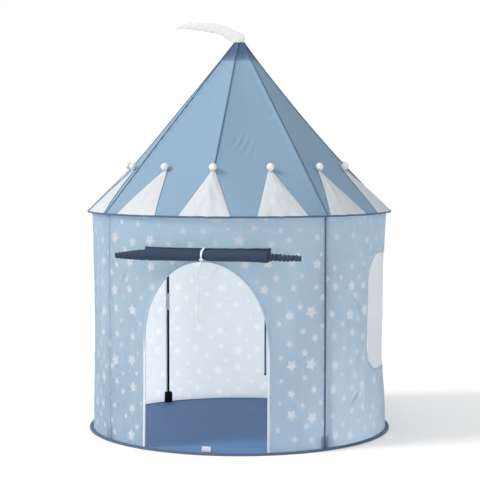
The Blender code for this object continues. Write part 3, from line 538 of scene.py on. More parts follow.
def roof_flat(bearing, rise, middle):
    """Where a place on a gore lies on its flat cloth. middle tells which gore it is."""
    start = math.floor(middle / GORE) * GORE + GORE / 2
    across = math.radians(bearing - start) * roof_radius(bearing, rise)
    return across + start / 90, rise * ROOF_SLOPE


# Openings in the wall

class Opening:
    """A hole in a wall panel, drawn on the upright plane that faces its bearing."""

    def __init__(self, bearing):
        self.bearing = bearing

    def on_plane(self, bearing, height):
        return wall_radius(bearing, height) * math.sin(math.radians(bearing - self.bearing)), height

    def on_wall(self, across, height):
        bearing = self.bearing
        for attempt in range(4):
            bearing = self.bearing + math.degrees(math.asin(across / wall_radius(bearing, height)))
        return bearing, height

    def covers(self, bearing, height):
        return self.inside(*self.on_plane(bearing, height))

    def snap(self, bearing, height):
        return self.on_wall(*self.nearest(*self.on_plane(bearing, height)))


class Doorway(Opening):
    """Straight sides, with half an ellipse over them."""
    side_steps = 48
    arch_steps = 72

    def area(self):
        arch = math.pi * DOOR_HALF * (DOOR_TOP - DOOR_SPRING) / 2
        return 2 * DOOR_HALF * (DOOR_SPRING - WALL_FOOT) + arch

    def inside(self, across, height):
        off = abs(across - DOOR_CENTRE)
        if height < DOOR_SPRING:
            return off < DOOR_HALF
        return (off / DOOR_HALF) ** 2 + ((height - DOOR_SPRING) / (DOOR_TOP - DOOR_SPRING)) ** 2 < 1

    def nearest(self, across, height):
        off = across - DOOR_CENTRE
        if height < DOOR_SPRING:
            return DOOR_CENTRE + math.copysign(DOOR_HALF, off), height
        rise = DOOR_TOP - DOOR_SPRING
        turn = math.atan2((height - DOOR_SPRING) / rise, off / DOOR_HALF)
        return DOOR_CENTRE + DOOR_HALF * math.cos(turn), DOOR_SPRING + rise * math.sin(turn)

    def outline(self, grow):
        """From the left foot over the arch to the right foot."""
        half = DOOR_HALF + grow
        rise = DOOR_TOP - DOOR_SPRING + grow
        side = steps(WALL_FOOT - 0.0004, DOOR_SPRING, self.side_steps)
        points = [(DOOR_CENTRE - half, height) for height in side[:-1]]
        points += [(DOOR_CENTRE + half * math.cos(turn), DOOR_SPRING + rise * math.sin(turn))
                   for turn in steps(math.pi, 0, self.arch_steps)]
        return points + [(DOOR_CENTRE + half, height) for height in reversed(side[:-1])]


class Window(Opening):
    """A rectangle with round corners, which can be grown on all sides."""

    def __init__(self, bearing, grow=0.0):
        super().__init__(bearing)
        self.half = WINDOW_HALF + grow
        self.rise = (WINDOW_HEAD - WINDOW_SILL) / 2 + grow
        self.middle = (WINDOW_HEAD + WINDOW_SILL) / 2
        self.corner = WINDOW_CORNER + grow

    def area(self):
        return 4 * self.half * self.rise - (4 - math.pi) * self.corner ** 2

    def beyond(self, across, height):
        """How far a place is out from the straight parts, on each axis."""
        return (abs(across) - self.half + self.corner,
                abs(height - self.middle) - self.rise + self.corner)

    def inside(self, across, height):
        side, up = self.beyond(across, height)
        return math.hypot(max(side, 0), max(up, 0)) < self.corner and max(side, up) < self.corner

    def nearest(self, across, height):
        side, up = self.beyond(across, height)
        if side > 0 and up > 0:
            scale = self.corner / math.hypot(side, up)
            side, up = side * scale, up * scale
        elif side > up:
            side = self.corner
        else:
            up = self.corner
        return (math.copysign(side + self.half - self.corner, across),
                self.middle + math.copysign(up + self.rise - self.corner, height - self.middle))

    def outline(self, grow):
        half, rise, corner = self.half + grow, self.rise + grow, self.corner + grow
        points = []
        quarters = (
            (1, 1, 12, (-half + corner, self.middle + rise)),
            (-1, 1, 16, (-half, self.middle - rise + corner)),
            (-1, -1, 12, (half - corner, self.middle - rise)),
            (1, -1, 16, (half, self.middle + rise - corner)),
        )
        for quarter, (side, end, count, after) in enumerate(quarters):
            for turn in steps(math.pi / 2 * quarter, math.pi / 2 * (quarter + 1), 16):
                points.append((side * (half - corner) + corner * math.cos(turn),
                               self.middle + end * (rise - corner) + corner * math.sin(turn)))
            last = points[-1]
            points += [(mix(last[0], after[0], part / count), mix(last[1], after[1], part / count))
                       for part in range(1, count)]
        return points


# Meshes

def deselect():
    if bpy.context.object and bpy.context.object.mode != "OBJECT":
        bpy.ops.object.mode_set(mode="OBJECT")
    bpy.ops.object.select_all(action="DESELECT")


def pick(piece):
    deselect()
    piece.select_set(True)
    bpy.context.view_layer.objects.active = piece


def new_piece(name, points, faces, flats=None):
    """A mesh object from points and faces. flats gives each face's corners on the flat cloth."""
    data = bpy.data.meshes.new(name)
    data.from_pydata([tuple(point) for point in points], [], faces)
    if flats:
        layer = data.uv_layers.new(name="flat")
        layer.data.foreach_set("uv", [part for face in flats for corner in face for part in corner])
    piece = bpy.data.objects.new(name, data)
    bpy.context.scene.collection.objects.link(piece)
    return piece


def cloth_piece(name, across, up, place, flat, hole=None, patch=None, closed=False):
    """A sheet over a grid of places, with a hole cut in it or trimmed to a patch's outline.

    Its edge is drawn onto the outline, so the cut is smooth.
    """
    columns = len(across) - (1 if closed else 0)
    places = [[column, row] for row in up for column in across[:columns]]
    cells, cut = [], set()
    for row in range(len(up) - 1):
        for column in range(len(across) - 1):
            after = (column + 1) % columns
            corners = (row * columns + column, row * columns + after,
                       (row + 1) * columns + after, (row + 1) * columns + column)
            middle = (mix(across[column], across[column + 1], 0.5), mix(up[row], up[row + 1], 0.5))
            if hole and hole.covers(*middle) or patch and not patch.covers(*middle):
                cut.update(corners)
            else:
                cells.append((corners, column, row))
    for corner in cut:
        places[corner] = list((hole or patch).snap(*places[corner]))
    used = sorted({corner for corners, column, row in cells for corner in corners})
    new = {corner: index for index, corner in enumerate(used)}
    faces, flats = [], []
    for corners, column, row in cells:
        faces.append([new[corner] for corner in corners])
        middle = mix(across[column], across[column + 1], 0.5)
        if closed and column == len(across) - 2:
            ends = [(across[column], up[row]), (across[column + 1], up[row]),
                    (across[column + 1], up[row + 1]), (across[column], up[row + 1])]
        else:
            ends = [places[corner] for corner in corners]
        flats.append([flat(*end, middle) for end in ends])
    return new_piece(name, [place(*places[corner]) for corner in used], faces, flats)


def tube_piece(name, rings, closed=False, caps=True, width=0.001):
    """A skin over rings of points, with each ring closed. Its flat runs along and round it."""
    count = len(rings[0])
    points = [point for ring in rings for point in ring]
    faces, flats = [], []
    along = [0.0]
    for ring, following in zip(rings, rings[1:] + rings[:1]):
        along.append(along[-1] + (following[0] - ring[0]).length)
    for row in range(len(rings) - (0 if closed else 1)):
        after = (row + 1) % len(rings)
        for corner in range(count):
            beside = (corner + 1) % count
            faces.append((row * count + corner, row * count + beside,
                          after * count + beside, after * count + corner))
            low, high = width * corner / count, width * (corner + 1) / count
            flats.append([(along[row], low), (along[row], high),
                          (along[row + 1], high), (along[row + 1], low)])
    if caps and not closed:
        last = (len(rings) - 1) * count
        faces += [tuple(reversed(range(count))), tuple(range(last, last + count))]
        flats += [[(0, 0)] * count, [(along[-2], 0)] * count]
    piece = new_piece(name, points, faces, flats)
    outwards(piece)
    return piece


def outwards(piece):
    """Merges doubles and turns the faces of a closed mesh outwards."""
    mesh = bmesh.new()
    mesh.from_mesh(piece.data)
    bmesh.ops.remove_doubles(mesh, verts=mesh.verts, dist=1e-6)
    bmesh.ops.recalc_face_normals(mesh, faces=mesh.faces)
    mesh.to_mesh(piece.data)
    mesh.free()


def apply_modifier(piece, kind, **settings):
    modifier = piece.modifiers.new(kind.lower(), kind)
    for name, value in settings.items():
        setattr(modifier, name, value)
    pick(piece)
    bpy.ops.object.modifier_apply(modifier=modifier.name)


def thicken(piece, thickness):
    """Gives a sheet its thickness, inwards from the side that its faces look to."""
    apply_modifier(piece, "SOLIDIFY", thickness=thickness, offset=-1)


def joined(pieces):
    """Makes one piece of several, under the first one's name."""
    pick(pieces[0])
    for piece in pieces[1:]:
        piece.select_set(True)
    bpy.ops.object.join()
    return pieces[0]


def settle(piece, finish, replaces=(), body="tent", angle=40):
    """Shades a finished piece, gives it its material and lets it ride on its body."""
    piece.data.materials.clear()
    piece.data.materials.append(finish_of(finish))
    piece.data.shade_smooth()
    piece.data.set_sharp_from_angle(angle=math.radians(angle))
    if replaces:
        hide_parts(*replaces)
    if body:
        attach(piece, body)
    return piece


def copies(piece, prefix):
    """A piece made at the doorway's bearing and three copies, each turned to its own corner."""
    made = [piece] + [piece.copy() for corner in range(len(CORNERS) - 1)]
    shape = piece.data
    for copy, (corner, bearing) in zip(made, CORNERS.items()):
        copy.name = prefix + corner
        copy.data = shape.copy()
        copy.data.name = copy.name
        copy.data.transform(Matrix.Rotation(math.radians(bearing), 4, "Z"))
        if copy is not piece:
            bpy.context.scene.collection.objects.link(copy)
    return made


def settle_copies(piece, prefix, finish, node="", angle=40):
    """Puts a piece at all four corners. node begins the name of the node that each replaces."""
    for copy, corner in zip(copies(piece, prefix), CORNERS):
        settle(copy, finish, [node + corner] if node else (), angle=angle)


def turned(name, profile, sides=24):
    """A round piece on the Z axis, drawn out ring by ring through (height, radius) points."""
    deselect()
    height, radius = profile[0]
    bpy.ops.mesh.primitive_circle_add(vertices=sides, radius=radius, fill_type="NGON",
                                      location=(0, 0, height))
    piece = bpy.context.object
    piece.name = piece.data.name = name
    bpy.ops.object.transform_apply(location=True, rotation=True, scale=True)
    bpy.ops.object.mode_set(mode="EDIT")
    bpy.ops.mesh.select_all(action="SELECT")
    for (low, last), (high, wide) in zip(profile, profile[1:]):
        bpy.ops.mesh.extrude_region_move(TRANSFORM_OT_translate={"value": (0, 0, high - low)})
        bpy.ops.transform.resize(value=(wide / last, wide / last, 1), center_override=(0, 0, high))
    bpy.ops.mesh.select_all(action="SELECT")
    bpy.ops.mesh.normals_make_consistent(inside=False)
    bpy.ops.object.mode_set(mode="OBJECT")
    return piece


def stand(piece, foot, way=UP):
    """Moves a piece that was made on the Z axis to where it stands, and turns it."""
    turn = UP.rotation_difference(way).to_matrix().to_4x4()
    piece.data.transform(Matrix.Translation(foot) @ turn)
    return piece


# Materials

THREAD_PITCH = 0.0009
THREAD_DEPTH = 0.0004
RIB_PITCH = 0.0011
NET_MESH = 0.0016
STAR_POINTS = 5
STAR_VALLEY = 0.5
STEEL = (0.33, 0.34, 0.35)


class Value:
    """One output of a shader node. A sum written with it adds Math nodes."""

    def __init__(self, nodes, socket):
        self.nodes = nodes
        self.socket = socket

    def sum(self, operation, *values):
        return self.nodes.node("Math", {"operation": operation}, dict(enumerate(values)))

    def __add__(self, other):
        return self.sum("ADD", self, other)

    def __sub__(self, other):
        return self.sum("SUBTRACT", self, other)

    def __rsub__(self, other):
        return self.sum("SUBTRACT", other, self)

    def __mul__(self, other):
        return self.sum("MULTIPLY", self, other)

    def __truediv__(self, other):
        return self.sum("DIVIDE", self, other)

    def __pow__(self, other):
        return self.sum("POWER", self, other)

    def __abs__(self):
        return self.sum("ABSOLUTE", self)

    __radd__ = __add__
    __rmul__ = __mul__

    def of(self, operation):
        """A Math node's sum of one number, such as its sine."""
        return self.sum(operation, self)

    def highest(self, other):
        return self.sum("MAXIMUM", self, other)

    def between(self, low, high):
        """0 below low, 1 above high, and smooth in between."""
        return self.nodes.node("MapRange", {"interpolation_type": "SMOOTHSTEP"},
                               {"Value": self, "From Min": low, "From Max": high})

    def near(self, middle, inner, outer):
        """1 within inner of a middle value, 0 beyond outer, and smooth in between."""
        return 1 - abs(self - middle).between(inner, outer)


class Nodes:
    """A node tree, and the one way in which nodes are added to it."""

    def __init__(self, tree, output):
        self.tree = tree
        self.output = tree.nodes[output]

    def node(self, kind, settings=None, values=None, output=0):
        """Adds a node, with its settings first and then its sockets' values or links."""
        node = self.tree.nodes.new("ShaderNode" + kind)
        for name, setting in (settings or {}).items():
            setattr(node, name, setting)
        for name, value in (values or {}).items():
            if isinstance(value, Value):
                self.tree.links.new(value.socket, node.inputs[name])
            else:
                node.inputs[name].default_value = value
        return Value(self, node.outputs[output])

    def show(self, value):
        self.tree.links.new(value.socket, self.output.inputs["Surface"])

    def seen(self):
        """1 for the rays that show a thing itself: to the camera, in a mirror or through glass."""
        path = self.node("LightPath").socket.node
        camera, glossy, transmission = (Value(self, path.outputs["Is %s Ray" % kind])
                                        for kind in ("Camera", "Glossy", "Transmission"))
        return camera + glossy + transmission

    def either(self, share, first, second):
        return self.node("MixShader", None, {0: share, 1: first, 2: second})


class Finish(Nodes):
    """A procedural material: its nodes, and the shader that they feed."""

    def __init__(self, name, colour, roughness, metallic=0.0, sheen=0.05, specular=0.5):
        self.material = bpy.data.materials.new(name)
        self.material.use_nodes = True
        self.material.diffuse_color = (*colour, 1)
        super().__init__(self.material.node_tree, "Material Output")
        self.shader = self.tree.nodes["Principled BSDF"]
        for socket, value in (("Base Color", (*colour, 1)), ("Roughness", roughness),
                              ("Metallic", metallic), ("Sheen Weight", sheen),
                              ("Specular IOR Level", specular)):
            self.shader.inputs[socket].default_value = value

    def flat(self):
        """The two places on the flat cloth, in metres."""
        place = self.node("UVMap", {"uv_map": "flat"})
        return tuple(self.node("SeparateXYZ", None, {0: place}, part) for part in (0, 1))

    def place(self):
        return self.node("TexCoord", None, None, 3)

    def part(self, vector, index):
        return self.node("SeparateXYZ", None, {0: vector}, index)

    def vector(self, x, y, z=0.0):
        return self.node("CombineXYZ", None, {0: x, 1: y, 2: z})

    def cloud(self, place, scale, detail=2.0, roughness=0.5):
        """Soft noise from 0 to 1."""
        return self.node("TexNoise", None, {"Vector": place, "Scale": scale, "Detail": detail,
                                            "Roughness": roughness})

    def tint(self, share, low, high):
        """A colour between two others. Each is a plain colour or a Value."""
        ends = [end if isinstance(end, Value) else (*end, 1) for end in (low, high)]
        return self.node("Mix", {"data_type": "RGBA"}, {0: share, 6: ends[0], 7: ends[1]}, 2)

    def woven(self, u, v):
        """Raises the threads of plain cloth, and gives back the slubs in them, from 0 to 1."""
        warp = (u * (math.tau / THREAD_PITCH)).of("SINE")
        weft = (v * (math.tau / THREAD_PITCH)).of("SINE")
        slubs = (self.cloud(self.vector(u * 40, v * 900), 1.0) * 0.5
                 + self.cloud(self.vector(u * 900, v * 40, 5.0), 1.0) * 0.5)
        self.bump((warp * weft * 0.5 + 0.5) * 0.5 + slubs, 0.3, THREAD_DEPTH)
        return slubs

    def ribbed(self, rib=RIB_PITCH, strength=0.35):
        """Gives a tape its ribs and wear, and hands them on for its colour."""
        ribs = (self.flat()[0] * (math.tau / rib)).of("SINE") * 0.5 + 0.5
        wear = self.cloud(self.place(), 60.0, 4.0)
        self.feed("Roughness", wear * 0.12 + 0.74)
        self.bump(ribs * 0.6 + wear * 0.4, strength, THREAD_DEPTH)
        return ribs, wear

    def feed(self, name, value):
        self.tree.links.new(value.socket, self.shader.inputs[name])

    def bump(self, height, strength, distance):
        self.feed("Normal", self.node("Bump", None, {"Strength": strength, "Distance": distance,
                                                     "Height": height}))

    def let_light_through(self, share, colour):
        """Mixes in light that passes through thin cloth from behind."""
        through = self.node("BsdfTranslucent", None, {"Color": (*colour, 1)})
        self.show(self.either(share, Value(self, self.shader.outputs[0]), through))


def darker(colour, share):
    return tuple(part * share for part in colour)


def cloth_finish(name, colour, roughness=0.78, through=0.0, glow=None, mottle=0.05):
    """Plain woven cloth with slubs in its threads and a little unevenness in its dye."""
    finish = Finish(name, colour, roughness)
    u, v = finish.flat()
    slubs = finish.woven(u, v)
    dye = finish.cloud(finish.vector(u, v, 2.0), 9.0, 3.0)
    share = dye * 0.7 + slubs * 0.3
    finish.feed("Base Color", finish.tint(share, darker(colour, 1 - mottle),
                                          darker(colour, 1 + mottle)))
    finish.feed("Roughness", dye * 0.1 + (roughness - 0.05))
    if through:
        finish.let_light_through(through, glow or colour)
    return finish


def star_mask(finish, u, v, spacing, shift, small, large, jitter, seed):
    """One five-pointed star in each square of a grid, each with its own place, size and turn."""
    column, row = u / spacing + shift, v / spacing + shift
    left, foot = column.of("FLOOR"), row.of("FLOOR")
    chance = finish.node("TexWhiteNoise", {"noise_dimensions": "3D"},
                         {"Vector": finish.vector(left, foot, seed)}, 1)
    aside, aloft, turn = (finish.part(chance, part) for part in (0, 1, 2))
    other = finish.node("TexWhiteNoise", {"noise_dimensions": "3D"},
                        {"Vector": finish.vector(left, foot, seed + 3.5)})
    x = (column - left - 0.5 - (aside - 0.5) * jitter) * spacing
    y = (row - foot - 0.5 - (aloft - 0.5) * jitter) * spacing
    size = other ** 1.3 * (large - small) + small
    way = (y.sum("ARCTAN2", y, x) + turn * math.tau) * (STAR_POINTS / math.tau)
    folded = abs((way + 20).of("FRACT") - 0.5) * (math.tau / STAR_POINTS)
    length = (x * x + y * y).of("SQRT")
    half = math.pi / STAR_POINTS
    across, along = STAR_VALLEY * math.sin(half), 1 - STAR_VALLEY * math.cos(half)
    whole = math.hypot(across, along)
    edge = length * (folded.of("COSINE") * (across / whole) + folded.of("SINE") * (along / whole))
    return 1 - (edge - size * (across / whole)).between(-0.0005, 0.0006)


def printed_finish(colours):
    """The wall cloth: pale stars on blue, with painted shade where the black fittings stand behind
    it, and painted light that makes it paler towards the eave.
    """
    finish = Finish("printed wall cloth", colours.wall, 0.78, sheen=0.0)
    tent = sizes()
    u, v = finish.flat()
    large = star_mask(finish, u, v, tent.star_spacing, 0.0, tent.large_star * 0.52, tent.large_star,
                      0.30, 1.0)
    small = star_mask(finish, u, v, tent.star_spacing, 0.5, tent.small_star, tent.large_star * 0.60,
                      0.40, 8.0)
    stars = large.highest(small)
    slubs = finish.woven(u, v)
    # Uneven dye, stretched upright and made strong, so that it also stands in as painted shade and
    # light of soft upright folds.
    dye = finish.cloud(finish.vector(u, v * 0.35, 2.0), 7.0, 3.0)
    # Painted light: the ground grows paler towards the eave, to make up for the shade that the eave
    # and the roof throw on the top of the wall.
    share = dye.between(0.25, 0.75) * 0.8 + slubs * 0.2 + v.between(0.56, 0.76) * 0.35
    ground = finish.tint(share, darker(colours.wall, 0.78), darker(colours.wall, 1.16))
    ground = finish.tint(v.between(0.52, 0.72) * 0.4, ground, darker(colours.wall, 1.42))
    printed = finish.tint(stars * 0.94, ground, colours.star)
    quarter = WALL_RADIUS * math.pi / 2
    seam = abs((u / quarter + 20).of("FRACT") - 0.5) * quarter
    # Painted shade where the black fittings stand behind the cloth: the foot pockets, the loops
    # under the eave, the poles and their ferrules. Less light passes through there too.
    pocket = (1 - (seam + v * 0.05).between(0.0125, 0.016)) * (1 - v.between(0.041, 0.046))
    loop = (1 - seam.between(0.005, 0.008)) * v.near(LOOP_HEIGHT, 0.003, 0.007)
    pole = (1 - seam.between(0.0035, 0.0085)) * 0.32
    ferrule = (1 - seam.between(0.0045, 0.0085)) * v.near(
        FERRULE_HEIGHT, FERRULE_LENGTH / 2 - 0.001, FERRULE_LENGTH / 2 + 0.002) * 0.1
    shade = (pocket * 0.62).highest(loop * 0.5).highest(pole + ferrule)
    finish.feed("Base Color", finish.tint(shade, printed, colours.shade))
    finish.feed("Roughness", dye * 0.1 + stars * 0.04 + 0.72)
    finish.let_light_through(tent.see_through - shade * 0.5, colours.glow)
    return finish


def roof_finish(colours):
    """The roof cloth, with painted shade round the peak where the lining doubles it from inside."""
    finish = Finish("roof cloth", colours.roof, 0.8, sheen=0.0)
    u, v = finish.flat()
    slubs = finish.woven(u, v)
    dye = finish.cloud(finish.vector(u, v, 2.0), 6.0, 3.0)
    ground = finish.tint(dye * 0.7 + slubs * 0.3, darker(colours.roof, 0.94),
                         darker(colours.roof, 1.06))
    edge = finish.cloud(finish.vector(u, v, 3.0), 30.0) * 0.006
    start = LINED_FROM * ROOF_SLOPE
    up = v + edge
    # Painted shade of the doubled cloth round the peak, in the lining's colour, with a soft
    # wavering edge.
    painted_lining_shade = up.between(start, start + 0.012) * 0.6 + up.between(start, start + 0.05) * 0.36
    finish.feed("Base Color", finish.tint(painted_lining_shade, ground, colours.lining))
    finish.feed("Roughness", dye * 0.1 + 0.7)
    finish.let_light_through(0.1, colours.roof)
    return finish


def tape_finish(name, colour, rib=RIB_PITCH, specular=0.5):
    """Ribbed woven tape, with its ribs across it."""
    finish = Finish(name, colour, 0.8, specular=specular)
    ribs, wear = finish.ribbed(rib)
    # Painted shade: the colour darkens a little in the grooves between the ribs. The wear is uneven
    # tone.
    finish.feed("Base Color", finish.tint(wear * 0.8 + ribs * 0.2, darker(colour, 0.88),
                                          darker(colour, 1.1)))
    return finish


def edge_finish(colours):
    """The doorway's binding: darker and bluer over the arch, and paler below."""
    finish = Finish("doorway binding", colours.edge, 0.8)
    finish.ribbed(strength=0.3)
    low = 1 - finish.part(finish.place(), 2).between(0.29, 0.36)
    finish.feed("Base Color", finish.tint(low, colours.edge, darker(colours.tape, 0.88)))
    return finish


def pennant_finish(colours):
    """Soft white cloth, in shade where the two halves are sewn together at its edges."""
    finish = Finish("pennant cloth", colours.pennant, 0.8)
    u, v = finish.flat()
    edge = abs((v * (2 / PENNANT_GIRTH)).of("FRACT") - 0.5) * 2
    fold = finish.cloud(finish.vector(u * 6, v * 20), 2.0)
    shade = edge.between(0.55, 0.8) * 0.85 + fold * 0.15
    finish.feed("Base Color", finish.tint(shade, colours.pennant,
                                          darker(colours.pennant, 0.87)))
    finish.feed("Roughness", fold * 0.1 + 0.75)
    return finish


def yarn_finish(colours):
    """Cut yarn: fine tufts with shade between them."""
    finish = Finish("pompon yarn", colours.pompon, 0.9, sheen=0.4)
    place = finish.place()
    tufts = finish.node("TexVoronoi", None, {"Vector": place, "Scale": 520.0})
    fluff = finish.cloud(place, 1400.0, 3.0)
    share = tufts.between(0.1, 0.75)
    finish.feed("Base Color", finish.tint(share * 0.6 + fluff * 0.4, colours.pompon,
                                          darker(colours.pompon, 0.8)))
    finish.bump((1 - share) * 0.7 + fluff * 0.3, 0.8, 0.0012)
    return finish


def net_finish(colours):
    """Fine net: threads both ways, and holes that let some of the light and view through."""
    finish = Finish("window net", colours.net, 0.7)
    u, v = finish.flat()
    across = abs((u / NET_MESH).of("FRACT") - 0.5)
    up = abs((v / NET_MESH).of("FRACT") - 0.5)
    thread = across.highest(up).between(0.24, 0.34)
    fold = finish.cloud(finish.vector(u, v), 14.0, 2.0)
    finish.feed("Base Color", finish.tint(fold, darker(colours.net, 0.95), colours.net))
    finish.feed("Alpha", thread * 0.16 + 0.83)
    finish.bump(thread, 0.4, 0.0003)
    finish.let_light_through(0.35, (0.98, 0.98, 0.98))
    return finish


def smooth_finish(name, colour, roughness, metallic=0.0, scale=90.0, specular=0.5):
    """Moulded plastic, drawn rod or metal, with fine grain and scuffs."""
    finish = Finish(name, colour, roughness, metallic, sheen=0.0, specular=specular)
    place = finish.place()
    grain = finish.cloud(place, scale * 12, 2.0)
    scuffs = finish.cloud(place, scale, 4.0, 0.65)
    worn = scuffs.between(0.55, 0.8)
    scuffed = tuple(mix(part, 0.3, 0.12) for part in colour)
    finish.feed("Base Color", finish.tint(worn * 0.5, colour, scuffed))
    finish.feed("Roughness", scuffs * 0.2 + (roughness - 0.1))
    finish.bump(grain, 0.12, 0.0003)
    return finish


FINISHES = {
    "wall": printed_finish,
    "roof": roof_finish,
    "lining": lambda colours: cloth_finish("lining cloth", colours.lining, through=0.2),
    "curtain": lambda colours: cloth_finish("curtain cloth", colours.curtain, mottle=0.1),
    "floor": lambda colours: cloth_finish("floor cloth", colours.floor, roughness=0.6, mottle=0.04),
    "binding": lambda colours: tape_finish("binding tape", colours.binding),
    "hem": lambda colours: cloth_finish("hem cloth", colours.hem, through=0.85, glow=colours.glow),
    "seam": lambda colours: tape_finish("pale seam tape", colours.seam),
    "edge": edge_finish,
    "white": lambda colours: cloth_finish("white cloth", colours.white, mottle=0.025, through=0.25),
    "pennant": pennant_finish,
    "pompon": yarn_finish,
    "tail": lambda colours: tape_finish("tie tail", darker(colours.tape, 0.86)),
    "tape": lambda colours: tape_finish("pale tape", colours.tape),
    "net": net_finish,
    "pole": lambda colours: smooth_finish("pole rod", colours.pole, 0.55, specular=0.15),
    "ferrule": lambda colours: smooth_finish("ferrule metal", colours.ferrule, 0.5, 0.55),
    "plastic": lambda colours: smooth_finish("black plastic", colours.pole, 0.5),
    "webbing": lambda colours: tape_finish("black webbing", colours.webbing, 0.0018, 0.15),
    "steel": lambda colours: smooth_finish("spring steel", STEEL, 0.35, 1.0, 40.0),
}
made_finishes = {}


def finish_of(name):
    """A finish's material, made the first time that it is asked for."""
    if name not in made_finishes:
        made_finishes[name] = FINISHES[name](bpy.context.scene.tent_colours).material
    return made_finishes[name]


# Pieces

def ring_points(centre, side, normal, width, depth, count):
    """An oval ring of points round a centre."""
    return [centre + side * (width * math.cos(angle)) + normal * (depth * math.sin(angle))
            for angle in turns(count)]


def ways_along(path):
    """The direction of a path at each of its points."""
    return [(after - before).normalized() for before, after in
            zip([path[0]] + path[:-1], path[1:] + [path[-1]])]


def frames_along(path):
    """At each point of a path, two directions across it that turn as little as they can."""
    ways = ways_along(path)
    side = ways[0].orthogonal().normalized()
    frames = []
    for way in ways:
        side = (side - way * side.dot(way)).normalized()
        frames.append((side, way.cross(side)))
    return frames


def cord_piece(name, path, radius, count=10):
    """A round cord along a path, with round ends."""
    frames = frames_along(path)
    rings = [ring_points(point, *sides, radius, radius, count)
             for point, sides in zip(path, frames)]
    tip = radius * 0.55
    for end, inner in ((0, 1), (-1, -2)):
        way = (path[end] - path[inner]).normalized()
        ring = ring_points(path[end] + way * radius * 0.6, *frames[end], tip, tip, count)
        rings = [ring] + rings if end == 0 else rings + [ring]
    return tube_piece(name, rings, width=math.tau * radius)


def knot_piece(name, centre, size, cord, out):
    """A tape tied in a small overhand knot, seen from the way that it faces."""
    side = out.cross(UP).normalized()
    high = side.cross(out).normalized()
    count = 48
    path = []
    for turn in turns(count):
        x = math.sin(turn) + 2 * math.sin(2 * turn)
        y = math.cos(turn) - 2 * math.cos(2 * turn)
        z = -math.sin(3 * turn)
        path.append(centre + (side * x + high * y) * size / 3 + out * z * size * 0.42)
    rings = []
    for index, point in enumerate(path):
        way = (path[(index + 1) % count] - path[index - 1]).normalized()
        across = way.cross(out).normalized()
        rings.append(ring_points(point, across, across.cross(way), cord, cord * 0.8, 10))
    return tube_piece(name, rings, closed=True, width=math.tau * cord)


def edge_band(name, opening, profile, closed):
    """A tape along an opening's edge. Its profile is given away from the edge and off the cloth."""
    outlines = [opening.outline(grow) for grow, lift in profile]
    rings = [[wall_point(*opening.on_wall(*place), lift)
              for place, (grow, lift) in zip(places, profile)] for places in zip(*outlines)]
    return tube_piece(name, rings, closed=closed, width=0.012)


def press_to_wall(*pieces):
    """Gives each piece its own copy of its mesh."""
    for piece in pieces:
        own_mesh(piece)


def make_tail():
    """The loose end of the tie, which is a free cord, and the small knot that finishes it."""
    path = smooth_route(TAIL_ROUTE, 3)
    tail = cord_piece("tie_cord", path, TAIL_RADIUS)
    settle(tail, "tail", ["tie_tail"])
    end = path[-1] - UP * 0.0038
    knot = knot_piece("tie_cord_knot", end, 0.0021, 0.0015, Vector((0, -1, 0)))
    settle(knot, "tape", ["tie_end_knot"])
    length = sum((after - before).length for before, after in zip(path, path[1:]))
    tuple(path[0])
    [tuple(point) for point in path]
    press_to_wall(tail, knot)


def make_floor():
    """The floor cloth, slack enough to lie in low waves."""
    edge = WALL_RADIUS - 0.0023

    def place(bearing, out):
        broad = max(ripple(bearing, 4 * out, 4), -0.3)
        lift = (0.0018 * broad + 0.0006 * ripple(bearing, 13 * out, 9)) * ease((edge - out) / 0.06)
        return around(bearing, out, 0.0041 + lift)

    def flat(bearing, out, middle):
        return out * math.sin(math.radians(bearing)), out * math.cos(math.radians(bearing))

    radii = [0.004] + steps(0.012, edge, 58)
    floor = cloth_piece("floor_sheet", steps(0, 360, 144), radii, place, flat, closed=True)
    mesh = bmesh.new()
    mesh.from_mesh(floor.data)
    bmesh.ops.holes_fill(mesh, edges=[side for side in mesh.edges if side.is_boundary
                                      and side.verts[0].co.xy.length < 0.01])
    bmesh.ops.recalc_face_normals(mesh, faces=mesh.faces)
    if sum(face.normal.z for face in mesh.faces) < 0:
        bmesh.ops.reverse_faces(mesh, faces=mesh.faces)
    mesh.to_mesh(floor.data)
    mesh.free()
    thicken(floor, THICKNESS["floor"])
    settle(floor, "floor", ["floor_mat"])


def make_tag():
    """The blank tag, a short piece of cloth sewn to the floor's front edge."""
    front = WALL_RADIUS - 0.016

    def place(across, up):
        curl = 0.0012 * math.sin(math.pi * up / TAG_HEIGHT) + 0.0008 * (across / TAG_HALF) ** 2
        return Vector((across, 0.004 * (up / TAG_HEIGHT) ** 1.3 - front - curl, 0.0047 + up))

    tag = cloth_piece("blank_tag", steps(-TAG_HALF, TAG_HALF, 22), steps(0, TAG_HEIGHT, 14),
                      place, lambda across, up, middle: (across, up))
    thicken(tag, THICKNESS["tag"])
    settle(tag, "white", ["floor_tag"])


def make_binding(name, foot, reach, node):
    """A tape folded round a hoop, rounded at its nose, with a row of stitches along its edge."""
    inner = WALL_RADIUS - 0.0017
    nose = WALL_RADIUS + reach - 0.0031
    middle = foot + 0.003
    below = [(0, 0.0004), (0.004, 0.0001), (0.0055, 0.0007), (0.007, 0.0001)]
    section = [(inner + out, foot + up) for out, up in below]
    section += [(nose + BINDING_HALF * math.cos(turn), middle + BINDING_HALF * math.sin(turn))
                for turn in steps(-math.pi / 2, math.pi / 2, 8)]
    section += [(inner + out, 2 * middle - foot - up) for out, up in reversed(below)]
    rings = []
    for bearing in steps(0, 360, 288)[:-1]:
        wave = 0.0003 * ripple(bearing, 34, foot)
        rings.append([around(bearing, out + wave * clamp((out - inner - 0.006) / 0.006), height)
                      for out, height in section])
    piece = tube_piece(name, rings, closed=True, width=0.03)
    settle(piece, "binding", [node])


